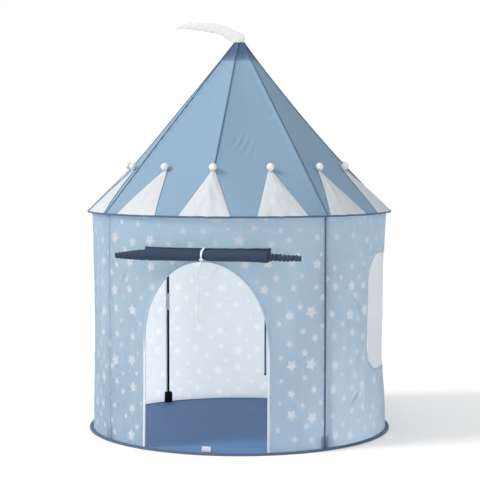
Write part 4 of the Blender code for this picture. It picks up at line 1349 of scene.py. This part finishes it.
def make_bindings():
    """The tapes of the floor and the eave, and the look of the steel hoops inside them."""
    make_binding("base_tape", 0.0, BASE_REACH, "base_binding")
    make_binding("eave_tape", EAVE_BINDING_FOOT, EAVE_REACH, "eave_binding_with_bunting")
    for node in ("base_hoop", "eave_hoop"):
        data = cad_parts[node].data
        for index in range(len(data.materials)):
            data.materials[index] = finish_of("steel")


def make_wall():
    """Four panels of printed cloth, with the doorway and the windows cut in them."""
    openings = {side: Window(bearing) for side, bearing in WINDOW_BEARINGS.items()}
    openings["front"] = Doorway(0)
    width, height = math.radians(2 * GORE) * WALL_RADIUS, WALL_TOP - WALL_FOOT
    heights = steps(WALL_FOOT - 0.0006, WALL_TOP + 0.0006, round(height / CELL))
    for name, middle in PANELS.items():
        hole = openings.get(name)
        bearings = steps(middle - GORE, middle + GORE, round(width / CELL))
        panel = cloth_piece("wall_panel_" + name, bearings, heights, wall_point, wall_flat,
                            hole=hole)
        thicken(panel, sizes().cloth)
        settle(panel, "wall", ["wall_" + name], angle=60)
        width * height - (hole.area() if hole else 0)


def make_hems():
    """The hem round each window."""
    hem = [(0.0, 0.0002), (0.0004, 0.0006), (0.0020, 0.0008), (0.0034, 0.0004), (0.0048, 0.0008),
           (0.0060, 0.0007), (0.0066, 0.0002), (0.0064, -0.0002), (0.0034, -0.0003),
           (0.0004, -0.0003)]
    for side, bearing in WINDOW_BEARINGS.items():
        band = edge_band("window_hem_" + side, Window(bearing), hem, True)
        settle(band, "hem")


def make_seam_tapes():
    """A tape sewn over each seam of two panels, in front of the pole. The left ones, on the side
    that the light falls on, are paler: painted light. The dark right ones have the bindings'
    colour, which also stands in as painted shade of the poles behind them.
    """
    section = [(-1, 0.0001), (-1, 0.0009), (-0.72, 0.0013), (-0.45, 0.0010), (0, 0.0015),
               (0.45, 0.0010), (0.72, 0.0013), (1, 0.0009), (1, 0.0001), (0, -0.0001)]
    for corner, bearing in CORNERS.items():
        # Painted light and shade: paler tape on the lit left side, darker tape on the right where
        # the poles' shade falls.
        pale = bearing > 180
        half = 0.0024 if pale else 0.0028
        rings = []
        for height in steps(WALL_FOOT - 0.0005, WALL_TOP + 0.0005, 150):
            wander = 0.00015 * rough(bearing, 14 * height, 0)
            rings.append([wall_point(bearing + math.degrees((side * half + wander) / WALL_RADIUS),
                                     height, lift) for side, lift in section])
        tape = tube_piece("seam_tape_" + corner, rings, width=0.016)
        settle(tape, "seam" if pale else "binding")


def make_nets():
    """Fine net behind each window, hemmed to the inside of the wall."""
    for side, bearing in WINDOW_BEARINGS.items():
        patch = Window(bearing, NET_HEM)
        loose = Window(bearing, -NET_SEWN)
        reach = math.degrees(math.asin((patch.half + 0.01) / WALL_RADIUS)) + 1
        high = patch.rise + 0.008

        def place(turn, height):
            slack = abs(0.0016 * rough(0.1 * turn, 7 * height, bearing))
            depth = sizes().cloth + LINING_GAP + (slack if loose.covers(turn, height) else 0)
            return around(turn, wall_out(turn, height) - depth, height)

        net = cloth_piece("net_" + side, steps(bearing - reach, bearing + reach, 72),
                          steps(patch.middle - high, patch.middle + high, 78), place, wall_flat,
                          patch=patch)
        thicken(net, THICKNESS["net"])
        settle(net, "net", ["window_net_" + side], angle=60)


def make_door_edge():
    """The pale tape folded round the doorway's edge."""
    section = [(0.0050, 0.0003), (0.0049, 0.0009), (0.0038, 0.0012), (0.0030, 0.0009),
               (0.0021, 0.0012), (0.0002, 0.0014), (-0.0008, 0.0011), (-0.0014, 0.0004),
               (-0.0016, -0.0008), (-0.0014, -0.0020), (-0.0008, -0.0027), (0.0004, -0.0029),
               (0.0045, -0.0028), (0.0050, -0.0022)]
    tape = edge_band("door_edge_tape", Doorway(0), section, False)
    settle(tape, "edge", ["door_binding"])


def make_ribbon():
    """The ribbon inside the doorway's right edge, and the knot at its foot."""
    edge = math.degrees(math.asin((DOOR_CENTRE + DOOR_HALF) / WALL_RADIUS))
    middle = edge - RIBBON_BESIDE
    section = [(-1, 0.0), (-1, -0.0003), (-0.6, -0.0008), (0, -0.0011), (0.6, -0.0008),
               (1, -0.0003), (1, 0.0), (0, 0.0002)]
    rings = []
    for height in steps(RIBBON_FOOT, RIBBON_TOP, 60):
        sway = 0.0006 * rough(0, 22 * height, 3)
        curl = 0.18 * rough(4, 16 * height, 3)
        back = sway - 0.0036 - 0.0016 * ease((0.39 - height) / 0.05)
        rings.append([wall_point(middle + RIBBON_HALF * side, height,
                                 back + lift + 0.002 * curl * side) for side, lift in section])
    ribbon = tube_piece("door_ribbon", rings, width=0.011)
    settle(ribbon, "lining", ["inner_tie"])
    knot = knot_piece("door_ribbon_knot", wall_point(middle, RIBBON_FOOT - 0.0025, -0.0085),
                      0.0028, 0.0019, around(middle, 1, 0))
    settle(knot, "lining")


def make_canopy():
    """The roof's eight gores in one sheet."""
    canopy = cloth_piece("roof_canopy", steps(0, 360, GORES * 40), steps(-0.0004, 1, 110),
                         roof_point, roof_flat, closed=True)
    thicken(canopy, sizes().cloth)
    gores = ["roof_gore_%d" % (number + 1) for number in range(GORES)]
    settle(canopy, "roof", gores, angle=60)


def make_piping():
    """The piping on the roof's seams, in one piece."""
    width = sizes().piping / 2
    seams = []
    for seam in range(0, 360, GORE):
        side = around(seam + 90, 1, 0)
        path = [roof_point(seam, rise, 0.0004) for rise in steps(0.0, 0.998, 150)]
        rings = []
        for index, (point, way) in enumerate(zip(path, ways_along(path))):
            wander = 0.0003 * rough(seam, 0.3 * index, 0)
            rings.append(ring_points(point + side * wander, side, side.cross(way), width,
                                     PIPING_DEPTH, 10))
        seams.append(tube_piece("roof_piping", rings, width=0.0125))
    settle(joined(seams), "binding")


def make_peak():
    """The lining under the peak, and the gathered collar on it."""
    def place(bearing, rise):
        return roof_point(bearing, rise, -sizes().cloth - 0.0012)

    lining = cloth_piece("peak_lining", steps(0, 360, 96), steps(LINED_FROM, LINED_TO, 14), place,
                         roof_flat, closed=True)
    thicken(lining, THICKNESS["lining"])
    settle(lining, "lining", ["peak_reinforcement"])
    slope = (LINED_TO - LINED_FROM) * ROOF_SLOPE
    foot, top = roof_radius(0, LINED_FROM), roof_radius(0, LINED_TO)
    math.tau * foot
    math.pi * (foot + top) * slope

    collar = turned("peak_collar", ((1.2722, 0.006), (1.2722, 0.0162), (1.2726, 0.0181),
                                    (1.2734, 0.0186), (1.2742, 0.0180), (1.2748, 0.0160),
                                    (1.2750, 0.0110), (1.2751, 0.006)), 72)
    for vertex in collar.data.vertices:
        turn = math.atan2(vertex.co.y, vertex.co.x)
        out = clamp((vertex.co.xy.length - 0.010) / 0.008)
        vertex.co.xy *= 1 + 0.022 * out * math.sin(14 * turn)
    settle(collar, "pennant", ["peak_cap"])


def flag_place(bearing, across, up, number):
    """A place on a flag. across is -1 and 1 at its edges, up is 0 at the eave and 1 at its tip."""
    half = mix(FLAG_HALF, FLAG_TIP, up)
    rise = FLAG_RISE * up
    turn = math.degrees(math.asin(across * half / roof_radius(bearing, rise)))
    from_edge = 1 - abs(across)
    free = math.sin(math.pi * clamp(up * 0.92 + 0.04)) * (1 - across ** 2) ** 0.7
    puff = 0.0046 + 0.0040 * (0.5 + 0.5 * rough(number * 7.3, 0, 0))
    folds = 0.0034 * rough(across * 2.4 + number * 5, up * 3.1, number * 2.7)
    fine = 0.0007 * rough(across * half * 80, up * 12, number * 4.1)
    pull = 0.0015 * math.exp(-up / 0.12) * math.sin(across * 9 + number * 2.4)
    hem = 0.0005 * bell(from_edge * half, 0.0030)
    lift = 0.0019 + free * (puff + folds) + fine * min(1, 6 * from_edge) + pull * (1 - across ** 2)
    return roof_point(bearing + turn, rise, lift + hem)


def make_bunting():
    """Thirteen doubled triangles on the roof, each with a pompon on its tip."""
    ball = make_pompon()
    off_roof = Vector((0, -math.sin(ROOF_PITCH), math.cos(ROOF_PITCH)))
    high = FLAG_RISE * ROOF_SLOPE
    for number in range(FLAGS):
        bearing = 360 * number / FLAGS

        def place(across, up):
            return flag_place(bearing, across, up, number)

        def flat(across, up, middle):
            return across * mix(FLAG_HALF, FLAG_TIP, up) + 0.2 * number, up * high

        flag = cloth_piece("flag_%02d" % (number + 1), steps(-1, 1, 44), steps(-0.004, 1, 48),
                           place, flat)
        thicken(flag, THICKNESS["flag"])
        settle(flag, "white", angle=60)
        pompon = ball if number == FLAGS - 1 else ball.copy()
        pompon.data = ball.data.copy()
        pompon.name = pompon.data.name = "pompon_%02d" % (number + 1)
        seat = roof_point(bearing, FLAG_RISE, 0.0022)
        out = Matrix.Rotation(math.radians(bearing), 3, "Z") @ off_roof
        spin = Matrix.Rotation(2.4 * number, 4, "Z") @ Matrix.Rotation(1.7 * number, 4, "X")
        pompon.data.transform(Matrix.Translation(seat + out * (POMPON_RADIUS - 0.001)) @ spin)
        if pompon is not ball:
            bpy.context.scene.collection.objects.link(pompon)
        settle(pompon, "pompon", angle=180)


def make_pompon():
    """A ball of cut yarn, round the origin."""
    deselect()
    bpy.ops.mesh.primitive_ico_sphere_add(subdivisions=5, radius=POMPON_RADIUS, location=(0, 0, 0))
    ball = bpy.context.object
    for vertex in ball.data.vertices:
        way = vertex.co.normalized()
        tuft = 0.5 - clamp(noise.voronoi(way * 5.5)[0][0] * 1.6)
        wild = noise.noise(way * 17)
        soft = noise.noise(way * 2.1)
        vertex.co = way * (POMPON_RADIUS + 0.0011 * tuft + 0.0005 * wild + 0.0006 * soft)
    return ball


def make_pennant():
    """A soft double pennant that stands up from the peak and bends over."""
    out = around(PENNANT_BEARING, 1, 0)
    side = around(PENNANT_BEARING + 90, 1, 0)
    route = smooth_route([section[:3] for section in PENNANT_SECTIONS], 10)
    leans = smooth_route([(section[3], 0, 0) for section in PENNANT_SECTIONS], 10)
    rings = []
    for index, ((along, up, width), lean) in enumerate(zip(route, leans)):
        centre = out * PENNANT_REACH * along + UP * (PENNANT_FOOT + PENNANT_RISE * up)
        turn = lean.x * math.pi / 2
        across = UP * math.sin(turn) - out * math.cos(turn)
        half = max(PENNANT_WIDTH * width / 2, 0.0012)
        thick = mix(0.008, 0.003, along) / 2
        ring = []
        for angle in turns(28):
            far = math.cos(angle)
            near = power(math.sin(angle), 0.7)
            seam = 1 - 0.38 * bell(abs(far) - 0.80, 0.07)
            fold = rough(far * 1.6, index * 0.16, 2 if near > 0 else 7)
            puff = 0.0008 * fold * (1 - far ** 2)
            pucker = 0.0004 * math.sin(index * 0.9) * bell(far + 0.9, 0.35)
            ring.append(centre + across * half * far
                        + side * (near * thick * seam + puff + pucker))
        rings.append(ring)
    pennant = tube_piece("pennant_flag", rings, width=PENNANT_GIRTH)
    apply_modifier(pennant, "SUBSURF", levels=1, render_levels=1)
    settle(pennant, "pennant", ["pennant"], body="pennant", angle=180)


def up_roof_pole(distance):
    """A point on a roof pole's axis, at the doorway's bearing, so far from its elbow's corner."""
    return around(0, POLE_OUT, ELBOW_HEIGHT) + ROOF_WAY * distance


def pole_distance(out):
    """How far up its roof pole a point is that lies so far out from the tent's axis."""
    return (POLE_OUT - out) / math.cos(ROOF_PITCH)


def make_poles():
    """Four poles in two halves each, below and above an elbow, with their ferrules."""
    roof_run = pole_distance(0.02) - 0.0005 - ELBOW_BEND
    runs = {
        "wall": (around(0, POLE_OUT, POLE_FOOT), UP, ELBOW_HEIGHT - ELBOW_BEND - POLE_FOOT,
                 FERRULE_HEIGHT - POLE_FOOT),
        "roof": (up_roof_pole(ELBOW_BEND), ROOF_WAY, roof_run, roof_run / 2),
    }
    for run, (foot, way, length, joint) in runs.items():
        start, end = joint - FERRULE_LENGTH / 2, joint + FERRULE_LENGTH / 2
        narrow = FERRULE_RADIUS - 0.0004
        lower = [(0, 0.0026), (0.0007, POLE_RADIUS), (joint, POLE_RADIUS), (joint, 0.003)]
        upper = [(joint + 0.0003, 0.003), (joint + 0.0005, POLE_RADIUS),
                 (length - 0.0007, POLE_RADIUS), (length, 0.0026)]
        ferrule = [(start, POLE_RADIUS + 0.0001), (start, narrow), (start + 0.0005, FERRULE_RADIUS),
                   (start + 0.006, FERRULE_RADIUS), (start + 0.0066, narrow),
                   (start + 0.0078, narrow), (start + 0.0084, FERRULE_RADIUS),
                   (end - 0.0005, FERRULE_RADIUS), (end, narrow), (end, POLE_RADIUS + 0.0001)]
        for shape, profile in (("lower", lower), ("upper", upper)):
            rod = stand(turned("%s_%s" % (run, shape), profile), foot, way)
            settle_copies(rod, "%s_%s_rod_" % (run, shape), "pole",
                          "%s_pole_%s_" % (run, shape), angle=30)
        sleeve = stand(turned("ferrule", ferrule), foot, way)
        settle_copies(sleeve, "%s_ferrule_" % run, "ferrule", angle=30)


def make_elbows():
    """A bent plastic elbow between each wall pole and its roof pole."""
    deselect()
    bpy.ops.curve.primitive_bezier_curve_add()
    curve = bpy.context.object
    spline = curve.data.splines[0]
    spline.bezier_points.add(2)
    corner = up_roof_pole(0)
    near, far = ELBOW_BEND + 0.004, ELBOW_BEND + ELBOW_SOCKET
    ends = ((corner - UP * far, UP), (corner - UP * near, UP),
            (up_roof_pole(near), ROOF_WAY), (up_roof_pole(far), ROOF_WAY))
    for point, (end, way) in zip(spline.bezier_points, ends):
        point.handle_left_type = point.handle_right_type = "FREE"
        point.co = end
        point.handle_left = end - way * 0.008
        point.handle_right = end + way * 0.008
    curve.data.dimensions = "3D"
    curve.data.bevel_depth = ELBOW_RADIUS
    curve.data.bevel_resolution = 6
    curve.data.resolution_u = 10
    pick(curve)
    bpy.ops.object.convert(target="MESH")
    elbow = bpy.context.object
    outwards(elbow)
    thicken(elbow, THICKNESS["elbow"])
    apply_modifier(elbow, "BEVEL", width=0.0004, segments=2, limit_method="ANGLE")
    settle_copies(elbow, "elbow_joint_", "plastic", "elbow_", angle=35)


def make_sleeves():
    """The cloth sleeve that each roof pole runs through, gathered a little along its length."""
    foot = ELBOW_BEND + ELBOW_SOCKET + 0.0076
    top = pole_distance(SOCKET_OUT) - 0.076
    side = Vector((1, 0, 0))
    normal = side.cross(ROOF_WAY)
    rings = []
    for distance in steps(foot, top, 150):
        ring = []
        for angle in turns(16):
            x, y = math.cos(angle), math.sin(angle)
            wave = rough(1.2 * x, 1.2 * y, 70 * distance)
            reach = SLEEVE_RADIUS - 0.0003 + 0.0004 * wave
            ring.append(up_roof_pole(distance) + (side * x + normal * y) * reach)
        rings.append(ring)
    sleeve = tube_piece("sleeve", rings, caps=False, width=0.04)
    thicken(sleeve, THICKNESS["sleeve"])
    settle_copies(sleeve, "pole_sleeve_", "lining", "roof_sleeve_")


def make_pockets():
    """The webbing pockets that the poles stand in."""
    deselect()
    middle = (0, -POLE_OUT, POCKET_FOOT + POCKET_HEIGHT / 2)
    bpy.ops.mesh.primitive_cube_add(size=1, location=middle,
                                    scale=(POCKET_WIDTH, POCKET_DEPTH, POCKET_HEIGHT))
    pocket = bpy.context.object
    bpy.ops.object.transform_apply(location=True, rotation=True, scale=True)
    bpy.ops.object.mode_set(mode="EDIT")
    bpy.ops.mesh.select_all(action="SELECT")
    bpy.ops.mesh.bevel(offset=0.0018, segments=3, affect="EDGES")
    bpy.ops.mesh.select_all(action="DESELECT")
    bpy.ops.object.mode_set(mode="OBJECT")
    for side in pocket.data.polygons:
        side.select = side.normal.z > 0.99 and side.area > 1e-5
    bpy.ops.object.mode_set(mode="EDIT")
    bpy.ops.mesh.select_mode(type="FACE")
    bpy.ops.mesh.inset(thickness=0.0006)
    depth = 0.012
    bpy.ops.mesh.extrude_region_move(TRANSFORM_OT_translate={"value": (0, 0, -depth)})
    bpy.ops.transform.resize(value=(0.72, 0.9, 1),
                             center_override=(0, -POLE_OUT, POCKET_FOOT + POCKET_HEIGHT - depth))
    bpy.ops.mesh.select_all(action="SELECT")
    bpy.ops.mesh.subdivide(number_cuts=2)
    bpy.ops.object.mode_set(mode="OBJECT")
    for vertex in pocket.data.vertices:
        share = (vertex.co.z - POCKET_FOOT) / POCKET_HEIGHT
        vertex.co.x *= mix(1, 26 / 28, share)
        inwards = clamp((vertex.co.y + POLE_OUT + 0.0055) / 0.011)
        wave = rough(90 * vertex.co.x, 0, 90 * vertex.co.z)
        vertex.co.y += 0.0009 * inwards * wave
    settle_copies(pocket, "pole_pocket_", "webbing", "foot_pocket_", angle=35)


def make_loops():
    """The loop that holds each wall pole to the wall under the eave."""
    loop = turned("loop", ((-0.004, 0.0041), (-0.004, 0.0054), (-0.0032, 0.0058), (0.0032, 0.0058),
                           (0.004, 0.0054), (0.004, 0.0041), (0.0, 0.00385)), 32)
    stand(loop, around(0, POLE_OUT, LOOP_HEIGHT))
    settle_copies(loop, "pole_loop_", "webbing", angle=35)


def make_hub():
    """A domed plastic boss with four sockets that point down along the roof poles."""
    hub = turned("peak_hub", ((1.235, 0.006), (1.235, 0.0118), (1.2358, 0.0130), (1.2384, 0.0160),
                              (1.2400, 0.0169), (1.2550, 0.0169), (1.2566, 0.0164),
                              (1.2600, 0.0138), (1.2632, 0.0106), (1.2652, 0.0090),
                              (1.2660, 0.0074), (1.2660, 0.003)), 48)
    foot = pole_distance(SOCKET_OUT)
    length = pole_distance(0.012) - foot
    socket = turned("socket", ((0.0, 0.0038), (0.0, 0.0048), (0.0005, 0.0052), (0.0030, 0.0052),
                               (0.0036, 0.0047), (0.0050, 0.0047), (0.0056, 0.0052),
                               (length, 0.0052)), 32)
    stand(socket, up_roof_pole(foot), ROOF_WAY)
    whole = joined([hub] + copies(socket, "socket_"))
    settle(whole, "plastic", ["apex_hub"], angle=35)


def make_heading():
    """The band on the wall that the curtain hangs from."""
    middle = (HEADING_FOOT + HEADING_TOP) / 2
    rings = []
    for bearing in steps(-CURTAIN_BEARING, CURTAIN_BEARING, 90):
        sag = 0.0006 * rough(20 * math.radians(bearing), 0, 6)
        rings.append([wall_point(bearing, middle + sag + 0.0049 * power(math.sin(angle), 0.45),
                                 0.0031 + 0.0024 * power(math.cos(angle), 0.45))
                      for angle in turns(14)])
    heading = tube_piece("curtain_band", rings, width=0.034)
    settle(heading, "curtain", ["curtain_heading"])


def make_strip():
    """The strip of curtain between its heading and the roll, which stretches when it comes down."""
    high = STRIP_TOP - STRIP_FOOT
    rows = [mix(STRIP_FOOT, STRIP_TOP, mix(uneased(even), even, 0.25)) for even in steps(0, 1, 96)]

    def place(bearing, height):
        down = (STRIP_TOP - height) / high
        folds = 0.0008 * math.sin(0.55 * bearing + 2 * math.sin(0.21 * bearing)) * down
        return around(bearing, wall_out(bearing, height) + 0.0014 + folds + 0.0010 * down, height)

    def flat(bearing, height, middle):
        down = STRIP_TOP - height
        return math.radians(bearing) * WALL_RADIUS, -ease(down / high) * DROP - down

    strip = cloth_piece("curtain_strip", steps(-CURTAIN_BEARING, CURTAIN_BEARING, 72), rows,
                        place, flat)
    thicken(strip, THICKNESS["strip"])
    settle(strip, "curtain", ["door_curtain"], body=None)
    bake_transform(strip)


def roll_scale(across, angle):
    """How far the roll is drawn in or swells, along it and round it."""
    scale = 1 - 0.24 * bell(across, 0.0085) - 0.05 * bell(across, 0.035)
    place = Vector((9 * across, 0.8 * math.cos(angle), 0.8 * math.sin(angle)))
    scale *= 1 + 0.030 * noise.noise(place)
    beyond = max(across - ROLL_BEYOND, 0)
    if beyond:
        rib = abs(math.sin(math.pi * beyond / 0.0122 + 0.3 * math.sin(angle))) ** 0.7
        scale *= 1 + 0.34 * ease(beyond / 0.006) * (rib - 0.80)
    return scale


def make_roll():
    """The curtain wound up in seven turns. The inner turns reach further out at both ends."""
    stations = ROLL_TURNS * ROLL_STEPS

    def wound(station):
        return ROLL_RADIUS - 0.0005 - ROLL_PITCH * station / ROLL_STEPS

    def place(part, station):
        share = station / stations
        left = 0.150 + 0.126 * clamp(share / 0.97) ** 0.62
        right = 0.195 + 0.010 * clamp(share / 0.6) + 0.091 * clamp((share - 0.6) / 0.26)
        across = mix(-left, right, part)
        turn = math.tau * station / ROLL_STEPS
        radius = wound(station) * roll_scale(across, turn)
        droop = -0.0050 * ease((abs(across + 0.01) - 0.13) / 0.16)
        return Vector((across, radius * math.cos(turn) - ROLL_DEPTH,
                       ROLL_HEIGHT + 0.0003 - radius * math.sin(turn) + droop))

    def flat(part, station, middle):
        return mix(-0.23, 0.24, part), station * 0.085 / ROLL_STEPS

    dense = sorted({round(value, 5) for value in steps(0, 0.40, 30) + steps(0.40, 0.50, 22)
                    + steps(0.50, 0.82, 20) + steps(0.82, 1, 78)})
    roll = cloth_piece("curtain_roll", dense, list(range(stations + 1)), place, flat)
    thicken(roll, THICKNESS["roll"])
    settle(roll, "curtain", ["door_roll"], body="door_roll", angle=60)
    length = sum(math.tau * wound(station) / ROLL_STEPS for station in range(stations))
    0.455 * length
    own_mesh(roll)


def make_tie():
    """The band over the heading and round the roll, and its knot."""
    centre = Vector((0, -ROLL_DEPTH, ROLL_HEIGHT))
    reach = ROLL_RADIUS * 0.80 + 0.0010
    side = Vector((1, 0, 0))

    def off_roll(angle):
        return Vector((0, math.cos(math.radians(angle)), math.sin(math.radians(angle))))

    path = [wall_point(0, 0.6272, 0.0012), wall_point(0, 0.6268, 0.0030),
            wall_point(0, 0.6260, 0.0062)]
    path += [centre + off_roll(angle) * reach for angle in range(98, 223, 12)]
    path = smooth_route(path, 5)
    section = [(-1, 0), (-0.96, 0.0006), (-0.5, 0.0009), (0, 0.0007), (0.5, 0.0009), (0.96, 0.0006),
               (1, 0), (0, -0.0001)]
    rings = []
    for index, (point, way) in enumerate(zip(path, ways_along(path))):
        share = index / (len(path) - 1)
        out = way.cross(side)
        half = mix(0.0040, 0.0024, ease((share - 0.35) / 0.6))
        middle = point + side * mix(-0.0015, -0.0035, share) + out * 0.0003
        rings.append([middle + side * (half * across) + out * lift for across, lift in section])
    band = tube_piece("tie_strap", rings, width=0.018)
    settle(band, "tape", ["tie_band"])
    out = off_roll(219)
    knot = knot_piece("tie_strap_knot", centre + out * (reach + 0.0040) - side * 0.003, 0.0042,
                      0.0024, out)
    settle(knot, "tape")
    press_to_wall(band, knot)


def make_ground():
    """A floor that is seen as white with the tent's shadow on it, and throws soft light back."""
    deselect()
    bpy.ops.mesh.primitive_plane_add(size=GROUND_SIZE, location=(0, 0, GROUND_HEIGHT))
    floor = bpy.context.object
    floor.name = "stage_floor"
    finish = Finish("stage floor", GROUND_FOR_LIGHT, 1.0, specular=0.0)
    lit = finish.node("Emission", None, {"Color": WHITE, "Strength": 0.1})
    grey = finish.node("BsdfDiffuse", None, {"Color": GROUND_SEEN})
    pale = finish.node("AddShader", None, {0: grey, 1: lit})
    finish.show(finish.either(finish.seen(), Value(finish, finish.shader.outputs[0]), pale))
    floor.data.materials.append(finish.material)


def make_sky():
    """A sky that is seen as white, and lights the tent more from one side."""
    world = bpy.data.worlds.new("white sky")
    bpy.context.scene.world = world
    world.use_nodes = True
    world.node_tree.nodes.remove(world.node_tree.nodes["Background"])
    sky = Nodes(world.node_tree, "World Output")
    level = bpy.context.scene.tent_stage.sky
    lean = sky.node("VectorMath", {"operation": "DOT_PRODUCT"},
                    {0: sky.node("TexCoord"), 1: SKY_LEAN}, 1)
    light = sky.node("Background", None, {"Color": SKY_COLOUR,
                                          "Strength": (lean + SKY_LEVEL) * level})
    white = sky.node("Background", None, {"Color": WHITE})
    sky.show(sky.either(sky.seen(), light, white))


def make_lamps():
    """A broad sun over the camera's left shoulder, and two large soft lamps."""
    for name, spot in LAMP_PLACES.items():
        spot = around(*spot)
        kind = "SUN" if name == "key" else "AREA"
        bpy.ops.object.light_add(type=kind, location=spot)
        lamp = bpy.context.object
        lamp.name = lamp.data.name = name + "_lamp"
        lamp.data.energy = getattr(bpy.context.scene.tent_stage, name)
        lamp.rotation_euler = (LAMP_TARGET - spot).to_track_quat("-Z", "Y").to_euler()
        if kind == "SUN":
            lamp.data.angle = KEY_WIDTH
            lamp.data.color = KEY_COLOUR
        else:
            lamp.data.shape = "DISK"
            lamp.data.size = LAMP_WIDTH
            lamp.visible_camera = False


def make_camera():
    """The camera where the photo was taken from, as far as it can be told from the photo."""
    scene = bpy.context.scene
    stage = scene.tent_stage
    bearing = math.degrees(stage.camera_bearing)
    bpy.ops.object.camera_add(location=around(bearing, stage.camera_distance, stage.camera_height)
                              + around(bearing + 90, stage.camera_aside, 0),
                              rotation=(math.pi / 2 - stage.camera_tilt, 0, stage.camera_bearing))
    camera = bpy.context.object
    camera.data.lens = stage.focal_length
    camera.data.sensor_width = 36
    camera.data.dof.use_dof = False
    scene.camera = camera
    scene.view_settings.view_transform = "Standard"


# Operators, panel and registration

class TENT_OT_stage(bpy.types.Operator):
    """Adds the white floor and sky, the lamps and the camera"""
    bl_idname = "tent.stage"
    bl_label = "Stage and camera"

    def execute(self, context):
        make_ground()
        make_sky()
        make_lamps()
        make_camera()
        return {"FINISHED"}


class TENT_OT_tie_cord(bpy.types.Operator):
    """Adds the loose end of the curtain's tie and its end knot"""
    bl_idname = "tent.tie_cord"
    bl_label = "Loose end of the tie"

    def execute(self, context):
        make_tail()
        return {"FINISHED"}


class TENT_OT_floor(bpy.types.Operator):
    """Adds the floor cloth and its blank tag"""
    bl_idname = "tent.floor"
    bl_label = "Floor"

    def execute(self, context):
        make_floor()
        make_tag()
        return {"FINISHED"}


class TENT_OT_bindings(bpy.types.Operator):
    """Adds the tapes that are folded round the two hoops"""
    bl_idname = "tent.bindings"
    bl_label = "Bindings"

    def execute(self, context):
        make_bindings()
        return {"FINISHED"}


class TENT_OT_wall(bpy.types.Operator):
    """Adds the four printed panels, their seam tapes and the windows' hems"""
    bl_idname = "tent.wall"
    bl_label = "Wall"

    def execute(self, context):
        make_wall()
        make_seam_tapes()
        make_hems()
        return {"FINISHED"}


class TENT_OT_nets(bpy.types.Operator):
    """Adds the net of both windows"""
    bl_idname = "tent.nets"
    bl_label = "Window nets"

    def execute(self, context):
        make_nets()
        return {"FINISHED"}


class TENT_OT_door_edge(bpy.types.Operator):
    """Adds the tape round the doorway and the ribbon inside it"""
    bl_idname = "tent.door_edge"
    bl_label = "Doorway's edge"

    def execute(self, context):
        make_door_edge()
        make_ribbon()
        return {"FINISHED"}


class TENT_OT_roof(bpy.types.Operator):
    """Adds the canopy, its piping and lining, and the collar at the peak"""
    bl_idname = "tent.roof"
    bl_label = "Roof"

    def execute(self, context):
        make_canopy()
        make_piping()
        make_peak()
        return {"FINISHED"}


class TENT_OT_bunting(bpy.types.Operator):
    """Adds the triangles on the roof and their pompons"""
    bl_idname = "tent.bunting"
    bl_label = "Bunting"

    def execute(self, context):
        make_bunting()
        return {"FINISHED"}


class TENT_OT_pennant(bpy.types.Operator):
    """Adds the pennant on the peak"""
    bl_idname = "tent.pennant"
    bl_label = "Pennant"

    def execute(self, context):
        make_pennant()
        return {"FINISHED"}


class TENT_OT_poles(bpy.types.Operator):
    """Adds the pole rods, ferrules, elbows, sleeves, pockets and loops"""
    bl_idname = "tent.poles"
    bl_label = "Poles"

    def execute(self, context):
        make_poles()
        make_elbows()
        make_sleeves()
        make_pockets()
        make_loops()
        return {"FINISHED"}


class TENT_OT_hub(bpy.types.Operator):
    """Adds the hub that the roof poles meet in"""
    bl_idname = "tent.hub"
    bl_label = "Hub"

    def execute(self, context):
        make_hub()
        return {"FINISHED"}


class TENT_OT_curtain(bpy.types.Operator):
    """Adds the curtain's heading, strip and roll, and the band that holds it up"""
    bl_idname = "tent.curtain"
    bl_label = "Curtain"

    def execute(self, context):
        make_heading()
        make_strip()
        make_roll()
        make_tie()
        return {"FINISHED"}


OPERATORS = (TENT_OT_stage, TENT_OT_tie_cord, TENT_OT_floor, TENT_OT_bindings, TENT_OT_wall,
             TENT_OT_nets, TENT_OT_door_edge, TENT_OT_roof, TENT_OT_bunting, TENT_OT_pennant,
             TENT_OT_poles, TENT_OT_hub, TENT_OT_curtain)


class TENT_PT_tent(bpy.types.Panel):
    """Lists the tent's pieces, colours and sizes in the sidebar"""
    bl_idname = "TENT_PT_tent"
    bl_label = "Play tent"
    bl_space_type = "VIEW_3D"
    bl_region_type = "UI"
    bl_category = "Tent"

    def draw(self, context):
        for operator in OPERATORS:
            self.layout.operator(operator.bl_idname)
        for name in GROUPS:
            group = getattr(context.scene, name)
            box = self.layout.box()
            for value in group.__annotations__:
                box.prop(group, value)


GROUPS = {"tent_colours": TentColours, "tent_sizes": TentSizes, "tent_stage": TentStage}


def register():
    for name, group in GROUPS.items():
        bpy.utils.register_class(group)
        setattr(bpy.types.Scene, name, PointerProperty(type=group))
    for kind in (*OPERATORS, TENT_PT_tent):
        bpy.utils.register_class(kind)


def unregister():
    for kind in reversed((*OPERATORS, TENT_PT_tent)):
        bpy.utils.unregister_class(kind)
    for name, group in GROUPS.items():
        delattr(bpy.types.Scene, name)
        bpy.utils.unregister_class(group)


def main():
    register()
    for operator in OPERATORS:
        group, name = operator.bl_idname.split(".")
        getattr(getattr(bpy.ops, group), name)()
    deselect()


if __name__ == "__main__":
    main()
